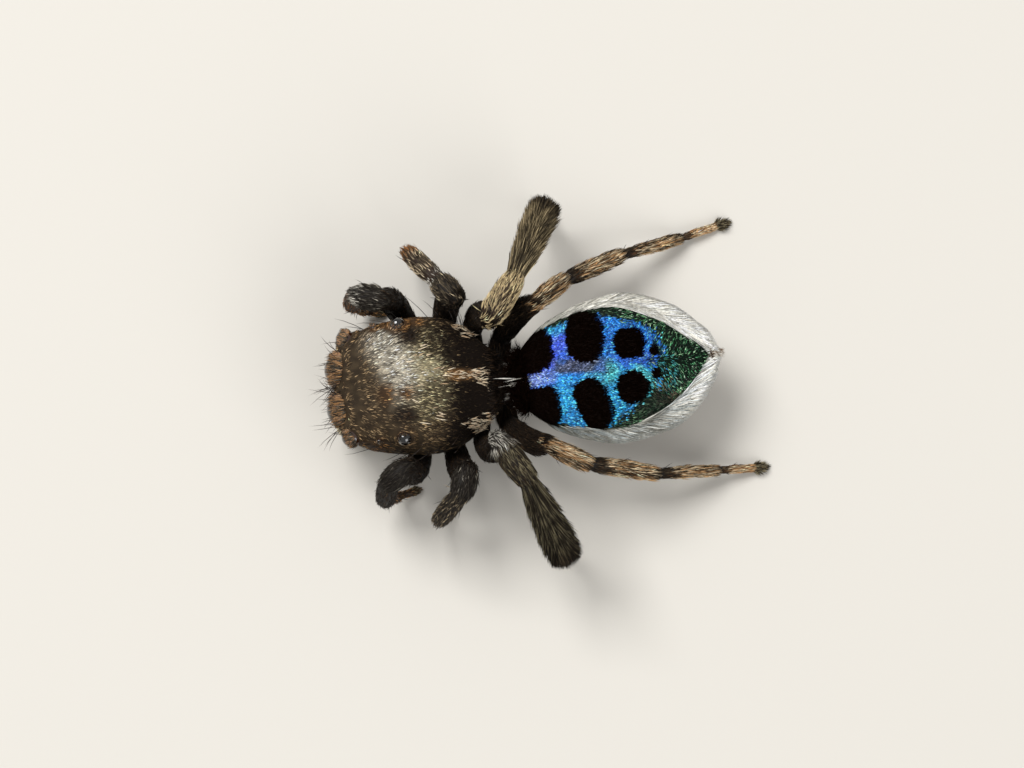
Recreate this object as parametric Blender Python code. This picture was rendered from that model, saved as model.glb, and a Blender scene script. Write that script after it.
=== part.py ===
"""Male peacock spider of the kind with black spots on a blue abdomen plate, life size, standing still.

Metres, +Z up. The head looks toward -Y, the abdomen points to +Y and the spider's left side is +X.
The origin lies at floor level under the middle of the spider, and all eight feet stand on Z = 0.
Neighbouring pieces keep a thin gap in proportion to a body 5 mm long, and are otherwise in their real places.
"""

import math
import random

import bmesh
import bpy
import numpy as np
from mathutils import Matrix, Vector

MM = 0.001
GAP = 0.02 * MM

# Cephalothorax: the domed shell over head and thorax, seen from the face (0) to the back edge (1).
CARAPACE_FRONT = -2.66 * MM
CARAPACE_BACK = -0.64 * MM
CARAPACE_STATIONS = (0.0, 0.12, 0.27, 0.42, 0.57, 0.72, 0.86, 1.0)
CARAPACE_HALF_WIDTHS = (0.75, 0.79, 0.84, 0.875, 0.885, 0.85, 0.73, 0.56)
CARAPACE_TOPS = (1.32, 1.43, 1.54, 1.61, 1.57, 1.38, 1.12, 0.90)
CARAPACE_FLANK = 0.84 * MM
CARAPACE_UNDERSIDE = 0.60 * MM
CARAPACE_YAW = math.radians(-1.6)
HEAD_BOXINESS = 0.60
THORAX_BOXINESS = 0.85
FACE_BLUNTNESS = 0.40
THORAX_BLUNTNESS = 0.66
SOCKET_ROOM = 1.03

# Eyes: the four at the face in a row, then a tiny pair and a middle pair along each side of the head.
EYES = {
    "anterior_median": dict(radius=0.225, x=0.255, y=-2.625, z=1.03),
    "anterior_lateral": dict(radius=0.130, x=0.625, y=-2.550, z=1.12),
    "posterior_median": dict(radius=0.035, x=0.735, y=-2.200, z=1.34),
    "posterior_lateral": dict(radius=0.095, x=0.725, y=-1.880, z=1.44),
}

# Underside of the cephalothorax.
STERNUM_FRONT = -1.82 * MM
STERNUM_BACK = -0.52 * MM
STERNUM_HALF_WIDTH = 0.27 * MM
STERNUM_HEIGHTS = (0.33 * MM, 0.53 * MM)
STERNUM_ROUNDNESS = 0.77
MOUTH_HEIGHT = 0.43 * MM
MOUTH_THICKNESS = 0.16 * MM
MOUTH_LIPS = (
    dict(x=0.0, back=0.09, half_width=0.085, half_length=0.09),
    dict(x=0.15, back=0.16, half_width=0.10, half_length=0.16),
    dict(x=-0.15, back=0.16, half_width=0.10, half_length=0.16),
)
CHELICERA_RADIUS = 0.125 * MM
CHELICERA_HEIGHTS = (0.20 * MM, 0.57 * MM)
CHELICERA_PLACE = (0.145 * MM, -2.40 * MM)
CHELICERA_TAPER = 0.28
CHELICERA_LEAN = 0.03 * MM
PALP_PATH = ((0.34, -1.98, 0.43), (0.47, -2.22, 0.44), (0.50, -2.46, 0.46), (0.42, -2.62, 0.42))
PALP_RADII = (0.060, 0.075, 0.075, 0.065)
PALP_TIP = ((0.40, -2.66, 0.44), (0.29, -2.69, 0.09))
PALP_TIP_RADIUS = 0.076 * MM

# Abdomen: an egg with a flattened top plate, seen from its front (0) to the spinnerets (1).
ABDOMEN_FRONT = Vector((0.135, -0.52, 0.0)) * MM
ABDOMEN_LENGTH = 2.62 * MM
ABDOMEN_YAW = math.radians(3.6)
ABDOMEN_STATIONS = (0.0, 0.05, 0.12, 0.27, 0.45, 0.60, 0.75, 0.88, 1.0)
ABDOMEN_HALF_WIDTHS = (0.36, 0.51, 0.64, 0.78, 0.85, 0.84, 0.74, 0.53, 0.16)
ABDOMEN_TOPS = (1.20, 1.27, 1.36, 1.48, 1.51, 1.47, 1.34, 1.17, 0.98)
ABDOMEN_BOTTOMS = (0.86, 0.76, 0.64, 0.48, 0.42, 0.44, 0.52, 0.64, 0.82)
PLATE_EDGE_SHARE = 0.64
PLATE_BOXINESS = 0.72
BELLY_BOXINESS = 0.95
ABDOMEN_BLUNTNESS = {"front": 0.70, "rear": 0.90}
ABDOMEN_FULLNESS = {"front": 0.62, "rear": 0.80}

# White fringe round the abdomen plate.
FRINGE_LOCKS_A_SIDE = 27
FRINGE_SPAN = (0.09, 0.97)
FRINGE_LENGTHS = (0.20 * MM, 0.38 * MM)
FRINGE_WIDTH = 0.13 * MM
FRINGE_THICKNESS = 0.05 * MM
FRINGE_TURNS = (2, 24)
FRINGE_SPREAD = 0.45
FRINGE_DROOP = (-0.25, 0.05)
FRINGE_BEND = 0.25
LOCK_ROOT_DEPTH = 0.05 * MM
FRINGE_SEED = 10

PEDICEL_RADIUS = 0.10 * MM
PEDICEL_HEIGHT = 0.80 * MM
PEDICEL_SIDE = (0.05 * MM, 0.10 * MM)
PEDICEL_RISE = 0.04 * MM
PEDICEL_REACH = 0.20 * MM
SPINNERET_LENGTH = 0.16 * MM
SPINNERET_RADIUS = 0.045 * MM
SPINNERETS = (dict(x=-0.5, z=0.1, reach=1.0), dict(x=0.5, z=0.1, reach=1.0), dict(x=0.0, z=-0.6, reach=0.8))

# Legs. Each pair has its own root beside the sternum, part lengths and part radii, in millimetres.
PARTS = ("femur", "patella", "tibia", "metatarsus", "tarsus")
PAIRS = {
    1: dict(root_y=-1.60, knee_side=(0.80, -1.72), bow=(0.28, -0.27),
            lengths=(0.95, 0.34, 0.62, 0.46, 0.31), radii=(0.178, 0.180, 0.150, 0.090, 0.070)),
    2: dict(root_y=-1.26, knee_side=(0.82, -1.30), bow=(0.30, -0.12),
            lengths=(1.02, 0.32, 0.66, 0.58, 0.42), radii=(0.185, 0.180, 0.142, 0.090, 0.070)),
    3: dict(root_y=-0.93, knee_side=(0.74, -0.93), bow=(0.30, -0.08),
            lengths=(1.22, 0.63, 0.98, 0.80, 0.46), radii=(0.170, 0.185, 0.120, 0.085, 0.065)),
    4: dict(root_y=-0.61, knee_side=(0.56, -0.58), bow=(0.14, -0.05),
            lengths=(1.02, 0.61, 0.97, 0.90, 0.64), radii=(0.155, 0.128, 0.112, 0.082, 0.062)),
}
COXA_RADIUS = 0.135 * MM
COXA_HEIGHT = 0.43 * MM
SLIM_RADIUS = 0.10 * MM
PART_SHARES = (0.0, 0.12, 0.35, 0.65, 0.88, 1.0)
PART_FULLNESS = (0.80, 0.93, 1.0, 1.0, 0.93, 0.80)
JOINT_FULLNESS = 0.72
CLAW_FULLNESS = 0.45
THIGH_FULLNESS = (0.80, 0.90, 0.98, 1.0, 0.95, 0.82)
COXA_FULLNESS = (0.90, 1.0, 0.94)

# The pose: for femur, patella, tibia and metatarsus the heading (degrees from straight out, positive toward
# the rear) and the rise above the floor; for the tarsus the heading alone, as its rise brings it to the floor.
POSE = {
    (1, "right"): ((-48, 66), (-73, -9), (-98, -81), (100, -72), 97),
    (1, "left"): ((-29, 69), (-58, -20), (-28, -75), (118, -63), 107),
    (2, "right"): ((50, 75), (-38, -24), (-38, -26), (65, -86), 135),
    (2, "left"): ((21, 65), (-18, 15), (-53, -52), (160, -79), 140),
    (3, "right"): ((118, 78), (36, -9), (27, -20), (17, -85), 17),
    (3, "left"): ((50, 78), (32, -4), (22, -22), (-155, -84), -155),
    (4, "right"): ((60, 60), (54, -27), (66, -31), (75, -27), 75),
    (4, "left"): ((48, 54), (61, -14), (80, -26), (92, -30), 91),
}
FOOT_AXIS_HEIGHT = 0.030 * MM

# Brushes on the tibiae of the third legs: rows of locks, longer toward the foot.
BRUSH_ROWS = 6
BRUSH_LOCKS_A_ROW = 8
BRUSH_LENGTHS = (0.26 * MM, 0.36 * MM)
BRUSH_WIDTH = 0.16 * MM
BRUSH_THICKNESS = 0.06 * MM
BRUSH_SPLAY = {"right": (math.radians(26), math.radians(38)), "left": (math.radians(32), math.radians(46))}
BRUSH_SEEDS = {"right": 11, "left": 2}
BRUSH_REACH = 0.94
BRUSH_ROOT_DEPTH = 0.62
BRUSH_BEND = 0.16

COLOURS = {
    "dark_shell": (0.035, 0.028, 0.024),
    "eye": (0.012, 0.010, 0.010),
    "blue_plate": (0.02, 0.16, 0.62),
    "dark_leg": (0.045, 0.036, 0.030),
    "pale_leg": (0.30, 0.22, 0.15),
    "brush": (0.06, 0.06, 0.055),
    "pale_palp": (0.33, 0.27, 0.20),
}


def clear_scene():
    for old in list(bpy.data.objects):
        bpy.data.objects.remove(old, do_unlink=True)


def new_collection(name):
    collection = bpy.data.collections.new(name)
    bpy.context.scene.collection.children.link(collection)
    return collection


def finish(name, roughness):
    """A plain material in one of the spider's colours."""
    material = bpy.data.materials.get(name)
    if material is None:
        material = bpy.data.materials.new(name)
        material.use_nodes = True
        shader = material.node_tree.nodes["Principled BSDF"]
        shader.inputs["Base Color"].default_value = (*COLOURS[name], 1.0)
        shader.inputs["Roughness"].default_value = roughness
        shader.inputs["Metallic"].default_value = 0.0
    return material


def add_object(name, mesh, collection, material=None):
    mesh.name = name
    mesh.shade_smooth()
    mesh.set_sharp_from_angle(angle=math.radians(40))
    if material is not None:
        mesh.materials.append(material)
    obj = bpy.data.objects.new(name, mesh)
    collection.objects.link(obj)
    return obj


def profile(stations, values, at):
    """A smooth curve through a few stations, in metres: a cubic between each two, with the slopes of their
    neighbours."""
    stations = np.asarray(stations, float)
    values = np.asarray(values, float) * MM
    slopes = np.gradient(values, stations)
    i = int(np.clip(np.searchsorted(stations, at) - 1, 0, len(stations) - 2))
    step = stations[i + 1] - stations[i]
    u = min(max((at - stations[i]) / step, 0.0), 1.0)
    start = (2 * u**3 - 3 * u**2 + 1) * values[i] + (u**3 - 2 * u**2 + u) * step * slopes[i]
    end = (3 * u**2 - 2 * u**3) * values[i + 1] + (u**3 - u**2) * step * slopes[i + 1]
    return float(start + end)


def squared(value, power):
    """The value with its sign kept and its size raised to a power: below 1 it makes a round form boxier."""
    return math.copysign(abs(value) ** power, value)


def face_outward(bm):
    """Turn the faces of one closed surface to point out."""
    bmesh.ops.recalc_face_normals(bm, faces=bm.faces)
    if bm.calc_volume(signed=True) < 0:
        bmesh.ops.reverse_faces(bm, faces=bm.faces)


def shaped_ball(around, along, shape):
    """A sphere whose points are moved by shape(polar angle 0 to pi, angle round the axis)."""
    bm = bmesh.new()
    bmesh.ops.create_uvsphere(bm, u_segments=around, v_segments=along, radius=1.0)
    for vert in bm.verts:
        polar = math.acos(min(max(vert.co.z, -1.0), 1.0))
        vert.co = shape(polar, math.atan2(vert.co.y, vert.co.x))
    face_outward(bm)
    mesh = bpy.data.meshes.new("ball")
    bm.to_mesh(mesh)
    bm.free()
    return mesh


def tube(path, radii, resolution=3):
    """A closed tube along a path with a radius at each point, as a mesh whose caps are welded on."""
    widest = max(radii)
    curve = bpy.data.curves.new("tube", "CURVE")
    curve.dimensions = "3D"
    curve.bevel_depth = widest
    curve.bevel_resolution = resolution
    curve.use_fill_caps = True
    spline = curve.splines.new("POLY")
    spline.points.add(len(path) - 1)
    for point, place, radius in zip(spline.points, path, radii):
        point.co = (*place, 1.0)
        point.radius = radius / widest
    guide = bpy.data.objects.new("tube", curve)
    bpy.context.scene.collection.objects.link(guide)
    bpy.context.view_layer.update()
    evaluated = guide.evaluated_get(bpy.context.evaluated_depsgraph_get())
    mesh = bpy.data.meshes.new_from_object(evaluated)
    mesh.transform(guide.matrix_world)
    bpy.data.objects.remove(guide, do_unlink=True)
    bpy.data.curves.remove(curve)
    mesh.materials.clear()
    bm = bmesh.new()
    bm.from_mesh(mesh)
    bmesh.ops.remove_doubles(bm, verts=bm.verts, dist=1e-8)
    face_outward(bm)
    bm.to_mesh(mesh)
    bm.free()
    return mesh


def trim(mesh, place, direction):
    """Cut away what lies behind a plane, given by a point on it and the direction that is kept, and close it."""
    bm = bmesh.new()
    bm.from_mesh(mesh)
    everything = bm.verts[:] + bm.edges[:] + bm.faces[:]
    cut = bmesh.ops.bisect_plane(
        bm, geom=everything, dist=1e-8, plane_co=place, plane_no=direction, clear_inner=True)
    rim = [item for item in cut["geom_cut"] if isinstance(item, bmesh.types.BMEdge)]
    if rim:
        bmesh.ops.contextual_create(bm, geom=rim)
    face_outward(bm)
    bm.to_mesh(mesh)
    bm.free()
    return mesh


def keep_largest(mesh):
    """Drop every closed surface but the largest, so that the piece stays one solid."""
    bm = bmesh.new()
    bm.from_mesh(mesh)
    left = set(bm.verts)
    groups = []
    while left:
        group = {left.pop()}
        front = list(group)
        while front:
            for edge in front.pop().link_edges:
                for vert in edge.verts:
                    if vert in left:
                        left.discard(vert)
                        group.add(vert)
                        front.append(vert)
        groups.append(group)
    groups.sort(key=len, reverse=True)
    for group in groups[1:]:
        bmesh.ops.delete(bm, geom=list(group), context="VERTS")
    bm.to_mesh(mesh)
    bm.free()


def combine(obj, meshes, operation, solver="EXACT"):
    """Join closed meshes to an object, or cut them from it, in one Boolean step that is then applied."""
    operands = new_collection("operands")
    for mesh in meshes:
        piece = bpy.data.objects.new("operand", mesh)
        piece.hide_render = True
        piece.display_type = "WIRE"
        operands.objects.link(piece)
    boolean = obj.modifiers.new("combine", "BOOLEAN")
    boolean.operation = operation
    boolean.operand_type = "COLLECTION"
    boolean.collection = operands
    boolean.solver = solver
    bpy.context.view_layer.update()
    evaluated = obj.evaluated_get(bpy.context.evaluated_depsgraph_get())
    result = bpy.data.meshes.new_from_object(evaluated)
    obj.modifiers.clear()
    old = obj.data
    obj.data = result
    result.name = obj.name
    bpy.data.meshes.remove(old)
    for piece in list(operands.objects):
        bpy.data.objects.remove(piece, do_unlink=True)
    bpy.data.collections.remove(operands)
    keep_largest(result)


def ball(centre, radius, around=16, along=10):
    """A plain ball."""
    def shape(polar, turn):
        ring = radius * math.sin(polar)
        return Vector(centre) + Vector((ring * math.cos(turn), radius * math.cos(polar), ring * math.sin(turn)))

    return shaped_ball(around, along, shape)


def spindle(path, half_width, half_thickness, flat_normal, around=4, along=4, widest=0.35):
    """A tapered lock: a flat, pointed form along a curved path, given as a function of 0 to 1."""
    def shape(polar, turn):
        u = (1 - math.cos(polar)) / 2
        step = 0.02
        ahead = (path(min(u + step, 1.0)) - path(max(u - step, 0.0))).normalized()
        across = ahead.cross(flat_normal).normalized()
        up = across.cross(ahead)
        size = math.sin(polar) ** 0.8 * (1.25 - 0.85 * max(u - widest, 0.0) / (1 - widest))
        offset = across * (half_width * math.cos(turn)) + up * (half_thickness * math.sin(turn))
        return path(u) + offset * size

    return shaped_ball(around, along, shape)


def turned_head(point):
    """The shell and the eyes are turned a little about the middle of the face, as the spider holds them."""
    pivot = Vector((0, CARAPACE_FRONT, 0))
    return pivot + Matrix.Rotation(CARAPACE_YAW, 3, "Z") @ (point - pivot)


def carapace_point(polar, turn, extra=0.0):
    """The shell's surface: a boxy section whose width and top follow the stations, blunt at the face."""
    middle = (CARAPACE_FRONT + CARAPACE_BACK) / 2
    half_length = (CARAPACE_BACK - CARAPACE_FRONT) / 2 + extra
    facing = -math.cos(polar)
    bluntness = FACE_BLUNTNESS if facing < 0 else THORAX_BLUNTNESS
    y = middle + half_length * squared(facing, bluntness)
    size = math.sin(polar) ** bluntness
    share = (y - CARAPACE_FRONT) / (CARAPACE_BACK - CARAPACE_FRONT)
    width = profile(CARAPACE_STATIONS, CARAPACE_HALF_WIDTHS, share) + extra
    top = profile(CARAPACE_STATIONS, CARAPACE_TOPS, share) + extra
    height = top - CARAPACE_FLANK if turn > 0 else CARAPACE_FLANK - CARAPACE_UNDERSIDE + extra
    boxiness = HEAD_BOXINESS + (THORAX_BOXINESS - HEAD_BOXINESS) * max(0.0, 2 * share - 1)
    x = width * size * squared(math.cos(turn), boxiness)
    z = CARAPACE_FLANK + height * size * squared(math.sin(turn), boxiness)
    return turned_head(Vector((x, y, z)))


def eye_place(eye, side):
    return turned_head(Vector((side * eye["x"], eye["y"], eye["z"])) * MM)


def make_carapace(parts):
    """The shell, with a socket for each eye."""
    mesh = shaped_ball(28, 18, carapace_point)
    shell = add_object("carapace", mesh, parts, finish("dark_shell", 0.6))
    sockets = []
    for eye in EYES.values():
        for side in (-1, 1):
            sockets.append(ball(eye_place(eye, side), eye["radius"] * MM * SOCKET_ROOM + GAP, 12, 8))
    combine(shell, sockets, "DIFFERENCE")
    return shell


def make_eyes(parts):
    """Eight glossy eyes, each a ball deep in its socket."""
    for name, eye in EYES.items():
        for side, side_name in ((-1, "right"), (1, "left")):
            around = 16 if eye["radius"] > 0.2 else 10
            mesh = ball(eye_place(eye, side), eye["radius"] * MM, around, around // 2 + 2)
            add_object(f"eye_{name}_{side_name}", mesh, parts, finish("eye", 0.08))


def sternum_half_width(y):
    """Half of the breast plate's width: a shield, round at both ends."""
    middle = (STERNUM_FRONT + STERNUM_BACK) / 2
    half_length = (STERNUM_BACK - STERNUM_FRONT) / 2
    share = min(abs((y - middle) / half_length), 1.0)
    return STERNUM_HALF_WIDTH * (1 - share**2.6) ** (1 / 2.6)


def make_underside(parts):
    """The breast plate between the legs and the mouthparts in front of it."""
    low, high = STERNUM_HEIGHTS
    middle = (STERNUM_FRONT + STERNUM_BACK) / 2

    def shield(polar, turn):
        y = middle - (STERNUM_BACK - STERNUM_FRONT) / 2 * squared(math.cos(polar), STERNUM_ROUNDNESS)
        width = STERNUM_HALF_WIDTH * math.sin(polar) ** STERNUM_ROUNDNESS
        height = (high - low) / 2 * math.sin(polar) ** 0.5
        x = width * math.cos(turn)
        return Vector((x, y, (low + high) / 2 + height * squared(math.sin(turn), 0.8)))

    add_object("sternum", shaped_ball(14, 10, shield), parts, finish("dark_shell", 0.6))

    meshes = []
    for lip in MOUTH_LIPS:
        centre = Vector((lip["x"] * MM, STERNUM_FRONT - GAP - lip["back"] * MM, MOUTH_HEIGHT))
        radii = (lip["half_width"] * MM, lip["half_length"] * MM, MOUTH_THICKNESS / 2)
        meshes.append(ellipsoid(centre, radii, 10, 7))
    mouth = add_object("mouthparts", meshes[0], parts, finish("dark_shell", 0.6))
    combine(mouth, meshes[1:], "UNION")


def ellipsoid(centre, radii, around, along):
    """A ball stretched to three radii."""
    def shape(polar, turn):
        ring = math.sin(polar)
        point = (ring * math.cos(turn) * radii[0], math.cos(polar) * radii[1], ring * math.sin(turn) * radii[2])
        return Vector(centre) + Vector(point)

    return shaped_ball(around, along, shape)


def make_jaws_and_palps(parts):
    """A jaw and a feeler-like palp with a club-shaped tip on each side, tucked under the face."""
    low, high = CHELICERA_HEIGHTS
    for side, side_name in ((-1, "right"), (1, "left")):
        def jaw(polar, turn):
            z = (low + high) / 2 + (high - low) / 2 * squared(math.cos(polar), 0.6)
            share = (z - low) / (high - low)
            ring = CHELICERA_RADIUS * math.sin(polar) ** 0.6 * (1 - CHELICERA_TAPER * (1 - share))
            x = side * (CHELICERA_PLACE[0] - CHELICERA_LEAN * (1 - share))
            return Vector((x + ring * math.cos(turn), CHELICERA_PLACE[1] + ring * math.sin(turn), z))

        name = f"chelicera_{side_name}"
        add_object(name, shaped_ball(12, 8, jaw), parts, finish("dark_shell", 0.5))

        stem = [Vector((side * x, y, z)) * MM for x, y, z in PALP_PATH]
        palp = tube(stem, [radius * MM for radius in PALP_RADII])
        palp_object = add_object(f"palp_{side_name}", palp, parts, finish("pale_palp", 0.7))
        start, end = (Vector((side * x, y, z)) * MM for x, y, z in PALP_TIP)
        tip = spindle(lambda u: start.lerp(end, u), PALP_TIP_RADIUS, PALP_TIP_RADIUS, Vector((0, 1, 0)), 12, 8)
        combine(palp_object, [tip], "UNION")


def abdomen_frame():
    """The abdomen's own axes: across, along toward the spinnerets, up."""
    return Matrix.Rotation(ABDOMEN_YAW, 3, "Z")


def abdomen_point(polar, turn, extra=0.0):
    """The abdomen's surface: an egg whose top plate is flatter than its belly."""
    facing = -math.cos(polar)
    half = "front" if facing < 0 else "rear"
    share = (1 + squared(facing, ABDOMEN_BLUNTNESS[half])) / 2
    size = math.sin(polar) ** ABDOMEN_FULLNESS[half]
    width = profile(ABDOMEN_STATIONS, ABDOMEN_HALF_WIDTHS, share)
    top = profile(ABDOMEN_STATIONS, ABDOMEN_TOPS, share)
    bottom = profile(ABDOMEN_STATIONS, ABDOMEN_BOTTOMS, share)
    edge = bottom + PLATE_EDGE_SHARE * (top - bottom)
    height = top - edge if turn > 0 else edge - bottom
    boxiness = PLATE_BOXINESS if turn > 0 else BELLY_BOXINESS
    across = (width * size + extra) * squared(math.cos(turn), BELLY_BOXINESS)
    up = edge + (height * size + extra) * squared(math.sin(turn), boxiness)
    along = ABDOMEN_LENGTH * share + extra * squared(facing, 3)
    return ABDOMEN_FRONT + abdomen_frame() @ Vector((across, along, 0)) + Vector((0, 0, up))


def fringe_lock(share, side, draw):
    """One white lock: it leaves the plate's edge outward and bends back along the flank."""
    polar = math.acos(1 - 2 * share)
    turn = math.radians(draw.uniform(*FRINGE_TURNS))
    turn = turn if side > 0 else math.pi - turn
    root = abdomen_point(polar, turn, -LOCK_ROOT_DEPTH)
    surface = abdomen_point(polar, turn)
    outward = (surface - root).normalized()
    backward = (abdomen_point(min(polar + 0.12, 3.1), turn) - surface).normalized()
    length = draw.uniform(0.85, 1.15) * (FRINGE_LENGTHS[0] + share * (FRINGE_LENGTHS[1] - FRINGE_LENGTHS[0]))
    droop = Vector((0, 0, draw.uniform(*FRINGE_DROOP)))
    heading = (backward * 0.90 + outward * (FRINGE_SPREAD + 0.3 * share) + droop).normalized()

    def path(u):
        return root + heading * (length * u) + backward * (length * FRINGE_BEND * u**2)

    up = Vector((0, 0, 1)) if abs(heading.z) < 0.9 else outward
    return spindle(path, FRINGE_WIDTH / 2, FRINGE_THICKNESS / 2, up)


def make_abdomen(parts):
    """The abdomen with its fringe, and the spinnerets behind it."""
    mesh = shaped_ball(28, 17, abdomen_point)
    abdomen = add_object("abdomen", mesh, parts, finish("blue_plate", 0.35))
    draw = random.Random(FRINGE_SEED)
    locks = []
    for side in (-1, 1):
        for i in range(FRINGE_LOCKS_A_SIDE):
            share = FRINGE_SPAN[0] + (FRINGE_SPAN[1] - FRINGE_SPAN[0]) * (i + 0.5) / FRINGE_LOCKS_A_SIDE
            locks.append(fringe_lock(share, side, draw))
    combine(abdomen, locks, "UNION", "MANIFOLD")

    tail = abdomen_point(math.pi, 0.0)
    backward = abdomen_frame() @ Vector((0, 1, 0))
    across = abdomen_frame() @ Vector((1, 0, 0))
    tail_end = tail + backward * (SPINNERET_LENGTH * 1.6)
    room = [tail.lerp(tail_end, u) for u in (0, 0.3, 0.7, 1)]
    combine(abdomen, [tube(room, [SPINNERET_RADIUS * 2.1 + GAP] * 4)], "DIFFERENCE", "MANIFOLD")

    cones = []
    for cone in SPINNERETS:
        root = tail + backward * GAP + across * (cone["x"] * SPINNERET_RADIUS)
        root.z += cone["z"] * SPINNERET_RADIUS
        path = [root + backward * (SPINNERET_LENGTH * cone["reach"] * u) for u in (0, 0.5, 0.85, 1)]
        cones.append(tube(path, [SPINNERET_RADIUS * r for r in (1, 0.85, 0.6, 0.3)], 1))
    spinnerets = add_object("spinnerets", cones[0], parts, finish("dark_shell", 0.6))
    combine(spinnerets, cones[1:], "UNION")


def make_pedicel(parts):
    """The narrow waist, cut face to face with the shell's back edge and the abdomen's front."""
    front = Vector((PEDICEL_SIDE[0], CARAPACE_BACK - GAP, PEDICEL_HEIGHT))
    back = Vector((PEDICEL_SIDE[1], ABDOMEN_FRONT.y + PEDICEL_REACH, PEDICEL_HEIGHT + PEDICEL_RISE))
    waist = tube([front.lerp(back, u) for u in (0, 0.25, 0.5, 1)], [PEDICEL_RADIUS * r for r in (1, 0.9, 0.9, 1)])
    trim(waist, Vector((0, CARAPACE_BACK + GAP, 0)), Vector((0, 1, 0)))
    pedicel = add_object("pedicel", waist, parts, finish("dark_shell", 0.6))
    grown = shaped_ball(28, 17, lambda polar, turn: abdomen_point(polar, turn, 2 * GAP))
    combine(pedicel, [grown], "DIFFERENCE")


def direction(side, heading, rise):
    """The unit vector of a leg part, from its heading and rise in degrees."""
    heading, rise = math.radians(heading), math.radians(rise)
    level = math.cos(rise)
    return Vector((side * level * math.cos(heading), level * math.sin(heading), math.sin(rise)))


def leg_joints(pair, side, side_name):
    """The places of a leg's joints: root, trochanter, knee, then the end of each part out to the foot."""
    sizes = PAIRS[pair]
    root_y = sizes["root_y"] * MM
    beside = max(sternum_half_width(root_y + COXA_RADIUS * u) for u in (-1, -0.5, 0, 0.5, 1))
    root = Vector((side * (beside + GAP), root_y, COXA_HEIGHT))
    x, y = sizes["knee_side"]
    joints = [root, Vector((side * x * MM, y * MM, COXA_HEIGHT))]
    pose = POSE[pair, side_name]
    for length, turn in zip(sizes["lengths"][:4], pose[:4]):
        joints.append(joints[-1] + direction(side, *turn) * (length * MM))
    reach = sizes["lengths"][4] * MM
    rise = math.degrees(math.asin(max(-1.0, (FOOT_AXIS_HEIGHT - joints[-1].z) / reach)))
    joints.append(joints[-1] + direction(side, pose[4], rise) * reach)
    return joints


def femur_path(joints, bow, side):
    """From the root out under the shell's edge, then up to the knee in a bow that clears the shell's flank."""
    root, trochanter, knee = joints[:3]
    middle = (trochanter + knee) / 2 + Vector((side * bow[0], 0, bow[1])) * MM
    steps = [0.15, 0.32, 0.5, 0.68, 0.84, 1.0]
    path = [root, root.lerp(trochanter, 0.4), root.lerp(trochanter, 0.75)]
    hip = root.lerp(trochanter, 0.75)
    for u in steps:
        inner = hip.lerp(trochanter + (middle - trochanter) * 0.25, u)
        outer = trochanter.lerp(middle, u).lerp(middle.lerp(knee, u), u)
        path.append(inner.lerp(outer, min(1.0, u * 1.6)))
    return path


def leg_part(start, end, radius, before, after):
    """One straight leg part between two joints, a little fuller in its middle and trimmed at each joint on the
    plane that halves the bend, so that it meets its neighbours face to face."""
    ahead = (end - start).normalized()
    over = radius * 1.5
    beyond = over if after is not None else radius * 0.4
    path = [start - ahead * over] + [start.lerp(end, u) for u in PART_SHARES] + [end + ahead * beyond]
    last = JOINT_FULLNESS if after is not None else CLAW_FULLNESS
    radii = [radius * f for f in (JOINT_FULLNESS, *PART_FULLNESS, last)]
    mesh = tube(path, radii, 3 if radius > SLIM_RADIUS else 2)
    if before is not None:
        plane = (before + ahead).normalized()
        trim(mesh, start + plane * (GAP / 2), plane)
    if after is not None:
        plane = (after + ahead).normalized()
        trim(mesh, end - plane * (GAP / 2), -plane)
    return mesh


def brush_locks(start, end, radius, splays, draw):
    """The brush round a third leg's tibia: rows of flat locks that lean toward the foot, longer row by row."""
    ahead = (end - start).normalized()
    across = ahead.cross(Vector((0, 0, 1))).normalized()
    up = across.cross(ahead)
    locks = []
    for row in range(BRUSH_ROWS):
        share = (row + 0.8) / BRUSH_ROWS
        length = BRUSH_LENGTHS[0] + (BRUSH_LENGTHS[1] - BRUSH_LENGTHS[0]) * share
        splay = splays[0] + (splays[1] - splays[0]) * share
        for k in range(BRUSH_LOCKS_A_ROW):
            turn = 2 * math.pi * (k + 0.5 * (row % 2) + draw.uniform(-0.15, 0.15)) / BRUSH_LOCKS_A_ROW
            outward = across * math.cos(turn) + up * math.sin(turn)
            lean = splay * draw.uniform(0.8, 1.15)
            heading = ahead * math.cos(lean) + outward * math.sin(lean)
            root = start.lerp(end, share * BRUSH_REACH) + outward * (radius * BRUSH_ROOT_DEPTH)
            reach = length * draw.uniform(0.88, 1.12)
            locks.append(lock_along(root, heading, ahead, outward, reach))
    return locks


def lock_along(root, heading, ahead, outward, reach):
    """One lock of a brush, bent back toward the leg's own direction at its tip."""
    def path(u):
        return root + heading * (reach * u) + (ahead - outward * 0.4) * (reach * BRUSH_BEND * u**2)

    return spindle(path, BRUSH_WIDTH / 2, BRUSH_THICKNESS / 2, outward)


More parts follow.
